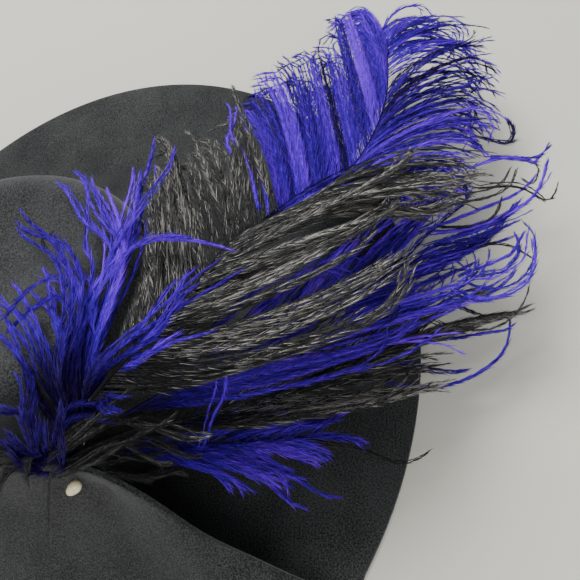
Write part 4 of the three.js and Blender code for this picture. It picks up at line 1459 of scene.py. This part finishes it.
# The plumes, from the flap's side of the pin to the crown's side. Angles are in degrees.
PLUMES = (
    Plume(
        "low_violet_tuft", "side_tuft", Slot.PURPLE,
        spine=(Place(.325, .33, .53), Place(.305, .44, .44), Place(.285, .6, .3), Place(.26, .76, .22)),
        vanes=(
            Vane(1, 30, (VaneRow(.05, .060, 30, 32, .012), VaneRow(.5, .046, 28, 30, .010),
                         VaneRow(1, .026, 14, 14, .004)), curl=60),
            Vane(-1, 26, (VaneRow(.1, .046, 24, 10, .006), VaneRow(.5, .040, 20, 8, .006),
                          VaneRow(1, .024, 10, 6, .003)), curl=70),
        ),
        locks=(Lock(Place(.325, .33, .5), Place(.3, .6, .28), Place(.31, .86, .11)),
               Lock(Place(.286, .5, .36), Place(.29, .67, .19), Place(.317, .82, .08))),
    ),
    Plume(
        "low_black_feather", "lower_black_plume", Slot.BLACK, glint_and_tone_spread=.28, vary=.1,
        spine=(Place(.31, .37, .6), Place(.26, .52, .5), Place(.19, .69, .4), Place(.11, .85, .31),
               Place(.04, 1.02, .26)),
        vanes=(
            Vane(1, 46, (VaneRow(.0, .140, 20, -4, .022), VaneRow(.3, .110, 24, -4, .020),
                         VaneRow(.6, .090, 20, 0, .012), VaneRow(1, .060, 12, 10, .006)), curl=-50),
            Vane(-1, 44, (VaneRow(.0, .110, 20, 2, .006), VaneRow(.5, .080, 20, 2, .006),
                          VaneRow(1, .055, 12, 4, .004)), curl=50),
        ),
    ),
    Plume(
        "low_violet_feather", "lower_purple_plume", Slot.PURPLE,
        spine=(Place(.3, .38, .71), Place(.225, .51, .68), Place(.14, .64, .59), Place(.02, .81, .49),
               Place(-.09, .98, .4)),
        vanes=(
            Vane(1, 54, (VaneRow(.05, .150, 32, -6, .024), VaneRow(.3, .135, 28, 6, .024),
                         VaneRow(.6, .118, 22, 8, .016), VaneRow(1, .085, 12, 14, .008)),
                 curl=-75, gather=.3, clump=7),
            Vane(-1, 36, (VaneRow(.1, .100, 20, 2, .004), VaneRow(.5, .090, 20, 4, .006),
                          VaneRow(1, .075, 12, 8, .004)), curl=70, gather=.3, clump=7),
        ),
        locks=(Lock(Place(.02, .81, .49), Place(-.07, 1.02, .4), Place(-.15, 1.2, .32), from_pin=False),
               Lock(Place(.02, .81, .49), Place(-.1, 1.04, .36), Place(-.22, 1.3, .24), from_pin=False)),
    ),
    Plume(
        "long_violet_left_vane", "long_purple_plume", Slot.PURPLE, spine=LONG_VIOLET_LINE, tone=.47, vary=.25,
        vanes=(
            Vane(-1, 136, (VaneRow(.40, .123, 52, 86, .010), VaneRow(.47, .134, 50, 68, .012),
                           VaneRow(.56, .130, 43, 46, .012), VaneRow(.66, .122, 30, 32, .012),
                           VaneRow(.77, .105, 13, 24, .012), VaneRow(.89, .083, 2, 26, .014),
                           VaneRow(1, .052, 0, 70, .012)),
                 curl=165, clump=1.2, gather=.2, layers=.014, curl_start=.78, even=.8, uneven=.06),
            Vane(-1, 60, (VaneRow(.40, .104, 52, 80, .018), VaneRow(.56, .110, 43, 44, .020),
                          VaneRow(.77, .092, 13, 24, .018), VaneRow(1, .040, 0, 60, .016)),
                 curl=90, clump=1, gather=0, layers=.004, even=.8),
        ),
        locks=(Lock(Place(-.7, .96, .49), Place(-.84, .93, .43), Place(-.93, .86, .33), from_pin=False),),
    ),
    Plume(
        "long_violet_right_vane", "long_purple_plume", Slot.PURPLE, spine=LONG_VIOLET_LINE, tone=.38,
        vary=.25,
        vanes=(
            Vane(1, 140, (VaneRow(.28, .124, 6, 26, .024), VaneRow(.46, .110, 12, 28, .022),
                          VaneRow(.60, .099, 15, 36, .020), VaneRow(.75, .085, 28, 64, .018),
                          VaneRow(.88, .067, 54, 100, .014), VaneRow(1, .046, 46, 100, .008)),
                 curl=120, clump=1.6, gather=.1, layers=.018, curl_start=.66, even=.85),
            Vane(1, 64, (VaneRow(.46, .098, 12, 34, .032), VaneRow(.60, .088, 17, 44, .030),
                         VaneRow(.75, .074, 34, 74, .028), VaneRow(.88, .058, 60, 104, .022),
                         VaneRow(1, .038, 50, 104, .014)),
                 curl=70, clump=1, gather=0, layers=.006, even=.9),
        ),
    ),
    Plume(
        "long_black_left_vane", "long_black_plume", Slot.BLACK, spine=LONG_BLACK_LINE, tone=.43,
        glint_and_tone_spread=.36, vary=.12,
        vanes=(
            Vane(-1, 34, (VaneRow(.07, .052, 50, 70, .012), VaneRow(.47, .088, 50, 56, .016),
                          VaneRow(.82, .094, 66, 76, .014)), curl=40, clump=4, gather=.3, layers=.006),
            Vane(-1, 120, (VaneRow(.07, .058, 48, 66, .004), VaneRow(.26, .066, 48, 64, .006),
                          VaneRow(.47, .096, 48, 50, .008), VaneRow(.62, .100, 52, 54, .008),
                          VaneRow(.82, .102, 66, 72, .006)),
                 curl=60, clump=7, layers=.018, gather=.8, uneven=.16, curl_start=.74),
        ),
    ),
    Plume(
        "long_black_right_vane", "long_black_plume", Slot.BLACK, spine=LONG_BLACK_LINE, glint_and_tone_spread=.36, vary=.12,
        vanes=(
            Vane(1, 96, (VaneRow(.0, .145, 34, -14, .018), VaneRow(.19, .138, 36, -12, .022),
                         VaneRow(.42, .128, 44, 10, .028), VaneRow(.64, .122, 38, 22, .034),
                         VaneRow(.85, .108, 20, 22, .038), VaneRow(1, .092, 6, 24, .040)),
                 curl=-50, clump=7, layers=.02, gather=.6),
            Vane(1, 30, (VaneRow(.42, .110, 44, 14, .036), VaneRow(.85, .094, 24, 26, .046),
                         VaneRow(1, .080, 8, 28, .048)), curl=-30, clump=2, gather=0, layers=.004),
        ),
    ),
    Plume(
        "pin_tuft", "base_tuft", Slot.PURPLE, tone=0.4, root_shade=0.12, glint_and_tone_spread=.26,
        locks=(Lock(Place(.373, .219, .69), Place(.314, .206, .86), Place(.255, .162, .96)),
               Lock(Place(.373, .219, .69), Place(.305, .24, .86), Place(.255, .22, .97)),
               Lock(Place(.373, .219, .69), Place(.348, .192, .82), Place(.315, .151, .87), 9),
               Lock(Place(.377, .214, .68), Place(.379, .183, .77), Place(.364, .141, .8), 9),
               Lock(Place(.36, .247, .69), Place(.324, .292, .84), Place(.292, .31, .89)),
               Lock(Place(.354, .251, .69), Place(.329, .326, .8), Place(.317, .435, .82)),
               Lock(Place(.371, .225, .68), Place(.386, .203, .73), Place(.41, .19, .74), 5)),
    ),
    Plume(
        "front_violet_tuft", "front_tuft", Slot.PURPLE, tone=0.5, root_shade=0.0, glint_and_tone_spread=.22,
        vary=.13, density=1400,
        locks=(Lock(Place(.264, .232, .81), Place(.214, .233, 1.), Place(.116, .129, 1.)),
               Lock(Place(.239, .263, .86), Place(.161, .239, 1.), Place(.039, .102, 1.)),
               Lock(Place(.247, .273, .86), Place(.18, .304, 1.), Place(.054, .16, 1.)),
               Lock(Place(.239, .276, .86), Place(.113, .343, 1.08), Place(-.16, .124, .99)),
               Lock(Place(.21, .352, .9), Place(.035, .419, 1.08), Place(-.153, .132, 1.)),
               Lock(Place(.21, .352, .9), Place(.071, .437, 1.08), Place(-.265, .295, .96), 10, .006),
               Lock(Place(.21, .352, .9), Place(-.008, .448, 1.07), Place(-.36, .36, .93), 10, .006),
               Lock(Place(.202, .357, .9), Place(.045, .468, 1.07), Place(-.167, .423, .95), 10, .006),
               Lock(Place(.209, .323, .9), Place(.057, .485, 1.11), Place(.096, .703, 1.06), 6, .003),
               Lock(Place(.235, .359, .9), Place(.168, .569, 1.1), Place(.06, .721, 1.06), 8, .005),
               Lock(Place(.251, .362, .86), Place(.2, .593, 1.09), Place(.109, .739, 1.04), 8, .005),
               Lock(Place(.258, .37, .84), Place(.253, .565, 1.06), Place(.215, .696, 1.04), 5, .003),
               Lock(Place(.281, .359, .81), Place(.287, .449, .96), Place(.289, .517, 1.)),
               Lock(Place(.204, .322, .9), Place(.109, .299, 1.06), Place(.195, .154, 1.), 6),
               Lock(Place(.204, .322, .9), Place(.115, .367, 1.06), Place(.017, .226, 1.01), 6)),
    ),
    Plume(
        "black_root_fluff", "", Slot.BLACK,
        locks=(Lock(Place(.369, .223, .66), Place(.326, .371, .84), Place(.269, .506, .93), 12, .007),
               Lock(Place(.37, .225, .64), Place(.334, .397, .8), Place(.278, .565, .89), 12, .007),
               Lock(Place(.372, .233, .62), Place(.351, .41, .75), Place(.299, .621, .78), 12, .007),
               Lock(Place(.372, .24, .6), Place(.36, .404, .68), Place(.331, .545, .66), 10, .005),
               Lock(Place(.377, .246, .66), Place(.381, .327, .72), Place(.392, .386, .71), 6, .002),
               Lock(Place(.374, .35, .64), Place(.387, .446, .59), Place(.409, .506, .46), 6, .003),
               Lock(Place(.36, .21, .70), Place(.39, .15, .78), Place(.42, .11, .73), 6, .003),
               Lock(Place(.36, .21, .70), Place(.392, .21, .77), Place(.415, .19, .72), 7, .004),
               Lock(Place(.36, .21, .70), Place(.39, .10, .79), Place(.41, .04, .76), 6, .003)),
    ),
    Plume(
        "black_wisps", "", Slot.BLACK, barbule=.004, tone=.3,
        locks=(
            Lock(Place(-.145, .796, .33), Place(-.181, .894, .32), Place(-.224, .982, .32), 12, .008, 20,
                 False, (Place(-.266, 1.08, .31),)),
            Lock(Place(-.176, .860, .37), Place(-.198, .930, .35), Place(-.231, 1.00, .34), 10, .008, 20,
                 False, (Place(-.298, 1.098, .32),)),
            Lock(Place(.391, .263, .73), Place(.454, .232, .62), Place(.527, .17, .32), 2, .0008, 20),
            Lock(Place(-.018, .212, .97), Place(-.059, .181, .97), Place(-.084, .207, .97), 2, .0008, 20,
                 from_pin=False),
            Lock(Place(.322, .389, .41), Place(.286, .714, .15), Place(.315, .922, .063), 3, .004),
            Lock(Place(.26, .70, .20), Place(.262, .86, .10), Place(.29, .945, .08), 3, .002, 20,
                 False, (Place(.26, 1.03, .12),)),
            Lock(Place(.01, 1.03, .27), Place(.03, 1.18, .28), Place(-.005, 1.25, .3), 3, .003, 20,
                 False, (Place(-.06, 1.285, .31),)),
            Lock(Place(-.1, 1.09, .41), Place(-.12, 1.19, .39), Place(-.115, 1.25, .37), 3, .003, 20,
                 False, (Place(-.09, 1.305, .35),)),
            Lock(Place(-.155, 1.055, .48), Place(-.14, 1.155, .47), Place(-.18, 1.23, .45), 4, .004, 20,
                 False, (Place(-.23, 1.255, .44),)),
            Lock(Place(-.36, 1.25, .39), Place(-.33, 1.325, .38), Place(-.285, 1.31, .37), 2, .001, 10,
                 False, (Place(-.32, 1.275, .35),)),
            Lock(Place(-.255, 1.16, .46), Place(-.245, 1.27, .44), Place(-.21, 1.33, .41), 4, .003, 20,
                 False, (Place(-.27, 1.355, .38),)),
            Lock(Place(-.17, .99, .59), Place(-.23, 1.12, .54), Place(-.26, 1.23, .49), 6, .005, 30,
                 False, (Place(-.33, 1.285, .44),)),
            Lock(Place(-.03, 1.065, .26), Place(.02, 1.155, .25), Place(.015, 1.21, .23), 3, .003, 20,
                 False, (Place(.045, 1.24, .22),)),
        ),
    ),
    Plume(
        "violet_wisps", "", Slot.PURPLE, barbule=.0065,
        locks=(
            Lock(Place(-.13, .834, .31), Place(-.174, .923, .3), Place(-.22, 1.005, .29), 8, .006, 20,
                 False, (Place(-.269, 1.109, .28),)),
            Lock(Place(.209, .622, .41), Place(.245, .765, .23), Place(.161, .886, .14), 6, .004,
                 from_pin=False),
            Lock(Place(.219, .67, 1.), Place(.271, .655, .86), Place(.327, .509, .5), 4, .003,
                 from_pin=False),
            Lock(Place(-.08, .70, .93), Place(-.27, .616, .89), Place(-.43, .49, .8), 5, .004,
                 from_pin=False),
            Lock(Place(-.06, .73, .93), Place(-.253, .636, .89), Place(-.39, .545, .8), 5, .004,
                 from_pin=False),
            Lock(Place(-.04, 1.085, .39), Place(-.035, 1.2, .41), Place(-.07, 1.265, .42), 7, .005, 30,
                 False, (Place(-.16, 1.315, .44),)),
            Lock(Place(-.045, 1.105, .39), Place(-.04, 1.225, .41), Place(-.09, 1.26, .42), 5, .003, 30,
                 False, (Place(-.17, 1.225, .44),)),
            Lock(Place(.06, 1.02, .22), Place(.065, 1.12, .23), Place(.04, 1.22, .25), 3, .002, 20,
                 False, (Place(0, 1.24, .26),)),
            Lock(Place(.135, .905, .15), Place(.15, 1.075, .17), Place(.085, 1.205, .2), 3, .001, 8,
                 False, (Place(-.015, 1.235, .22),)),
            Lock(Place(.08, .92, .18), Place(.115, 1.03, .18), Place(.125, 1.085, .19), 3, .002, 8,
                 False, (Place(.125, 1.125, .2),)),
            Lock(Place(-.405, 1.17, .48), Place(-.38, 1.26, .45), Place(-.44, 1.28, .42), 4, .003, 20,
                 False, (Place(-.5, 1.265, .39),)),
            Lock(Place(-.355, 1.19, .44), Place(-.34, 1.315, .41), Place(-.38, 1.365, .38), 4, .003, 20,
                 False, (Place(-.42, 1.38, .35),)),
            Lock(Place(-.315, 1.15, .44), Place(-.335, 1.265, .41), Place(-.325, 1.315, .38), 5, .003, 20,
                 False, (Place(-.37, 1.35, .35),)),
            Lock(Place(-.145, 1.015, .48), Place(-.195, 1.15, .45), Place(-.245, 1.27, .42), 7, .006, 30,
                 False, (Place(-.34, 1.35, .39),)),
            Lock(Place(-.1, 1.03, .48), Place(-.12, 1.17, .46), Place(-.18, 1.265, .44), 6, .005, 30,
                 False, (Place(-.24, 1.295, .41),)),
            Lock(Place(-.01, 1.065, .35), Place(0, 1.17, .36), Place(-.03, 1.215, .37), 4, .003, 30,
                 False, (Place(-.08, 1.25, .38),)),
        ),
    ),
)


@dataclass(frozen=True)
class Lamp:
    """A soft square light: where it stands from the head's middle, its side and its watts."""

    name: str
    place: tuple[float, float, float]
    size: float
    power: float


@dataclass
class Studio:
    """The plain pale floor, the soft lights and the camera at the photograph's viewing angle."""

    azimuth: float = 117.3
    elevation: float = 55.7
    roll: float = -27.9
    distance: float = 0.4301
    target: tuple[float, float, float] = (-0.0428, 0.1357, 0.0)
    focal_pixels: float = 680.0
    picture_pixels: float = 580.0
    sensor: float = 36.0
    floor_half: float = 3.0
    floor_colour: Paint = (0.67, 0.66, 0.575, 1.0)
    floor_roughness: float = 0.9
    floor_specular: float = 0.1
    world_colour: Paint = (0.93, 0.96, 1.0, 1.0)
    world_strength: float = 0.36
    lamps: tuple[Lamp, ...] = (
        Lamp("key", (-0.75, -0.25, 1.4), 0.8, 31.0),
        Lamp("fill", (1.2, 0.6, 1.1), 1.2, 16.0),
    )

    def camera_frame(self) -> tuple[Vector, Vector, Vector]:
        """Works out how the camera is turned.

        Returns:
            Its right, up and back directions.
        """
        azimuth, elevation = math.radians(self.azimuth), math.radians(self.elevation)
        back = Vector((math.sin(azimuth) * math.cos(elevation),
                       -math.cos(azimuth) * math.cos(elevation), math.sin(elevation)))
        level = (-back).cross(Vector((0, 0, 1))).normalized()
        plumb = level.cross(-back)
        roll = math.radians(self.roll)
        right = level * math.cos(roll) + plumb * math.sin(roll)
        up = plumb * math.cos(roll) - level * math.sin(roll)
        return right, up, back

    def add_camera(self, centre: Vector) -> None:
        """Adds the camera and makes it the scene's own.

        Args:
            centre: The middle of the head in the row frame.
        """
        right, up, back = self.camera_frame()
        data = bpy.data.cameras.new("camera")
        data.sensor_width = self.sensor
        data.lens = self.focal_pixels / self.picture_pixels * self.sensor
        camera = bpy.data.objects.new("camera", data)
        bpy.context.scene.collection.objects.link(camera)
        turn = Matrix((right, up, back)).transposed().to_4x4()
        place = centre + Vector(self.target) + back * self.distance
        camera.matrix_world = Matrix.Translation(place) @ turn
        bpy.context.scene.camera = camera

    def add_floor(self) -> None:
        """Adds the plain pale floor."""
        start_fresh()
        bpy.ops.mesh.primitive_plane_add(size=2 * self.floor_half)
        floor = bpy.context.object
        floor.name = "floor"
        sheet = NodeSheet("pale_floor")
        sheet.set(Base_Color=self.floor_colour, Roughness=self.floor_roughness,
                  Specular_IOR_Level=self.floor_specular)
        floor.data.materials.append(sheet.material)

    def add_light(self, lamp: Lamp, aim: Vector) -> None:
        """Adds one soft square light.

        Args:
            lamp: The light.
            aim: What it faces.
        """
        data = bpy.data.lights.new(lamp.name, "AREA")
        data.size, data.energy = lamp.size, lamp.power
        light = bpy.data.objects.new(lamp.name, data)
        bpy.context.scene.collection.objects.link(light)
        light.location = aim + Vector(lamp.place)
        light.rotation_euler = Vector(lamp.place).to_track_quat("Z", "Y").to_euler()

    def build(self, centre: Vector) -> None:
        """Sets the stage.

        Args:
            centre: The middle of the head in the row frame.
        """
        self.add_camera(centre)
        self.add_floor()
        for lamp in self.lamps:
            self.add_light(lamp, centre)
        world = bpy.data.worlds.new("soft_room")
        world.use_nodes = True
        background = world.node_tree.nodes["Background"]
        background.inputs["Color"].default_value = self.world_colour
        background.inputs["Strength"].default_value = self.world_strength
        bpy.context.scene.world = world


# The deep stops are the dyes in painted shade and the lit stops are painted highlights; on the black plumes
# they paint grey glints.
VIOLET = PlumeFinish(
    "violet_ostrich", (0.008, 0.001, 0.05, 1), (0.075, 0.002, 0.62, 1), (0.25, 0.035, 1.0, 1),
    sheen=0.0, sheen_tint=(0.7, 0.5, 1.0, 1), roughness=0.5, specular=0.12,
)
BLACK = PlumeFinish(
    "black_ostrich", (0.003, 0.003, 0.004, 1), (0.016, 0.016, 0.016, 1), (0.44, 0.42, 0.38, 1),
    sheen=0.12, sheen_tint=(0.8, 0.8, 0.78, 1), roughness=0.5, specular=0.4, turn=0.64,
)


def main() -> None:
    """Builds the hat's pieces in order and sets the stage."""
    logging.basicConfig(level=logging.INFO, format="%(name)s: %(message)s")
    centre = head_centre()
    hat = FeltHat()
    hat.build(FeltFinish().build(), centre)
    Pearl().build(PearlFinish().build())
    pin = frame["nodes"]["pin_shaft"]
    pin.data.materials.clear()
    pin.data.materials.append(SteelFinish().build())
    maker = PlumeMaker(hat, centre)
    finishes = {Slot.PURPLE: VIOLET.build(), Slot.BLACK: BLACK.build()}
    for index, plume in enumerate(PLUMES):
        maker.build(plume, finishes[plume.slot], SEED + index)
    Studio().build(centre)


if __name__ == "__main__":
    main()
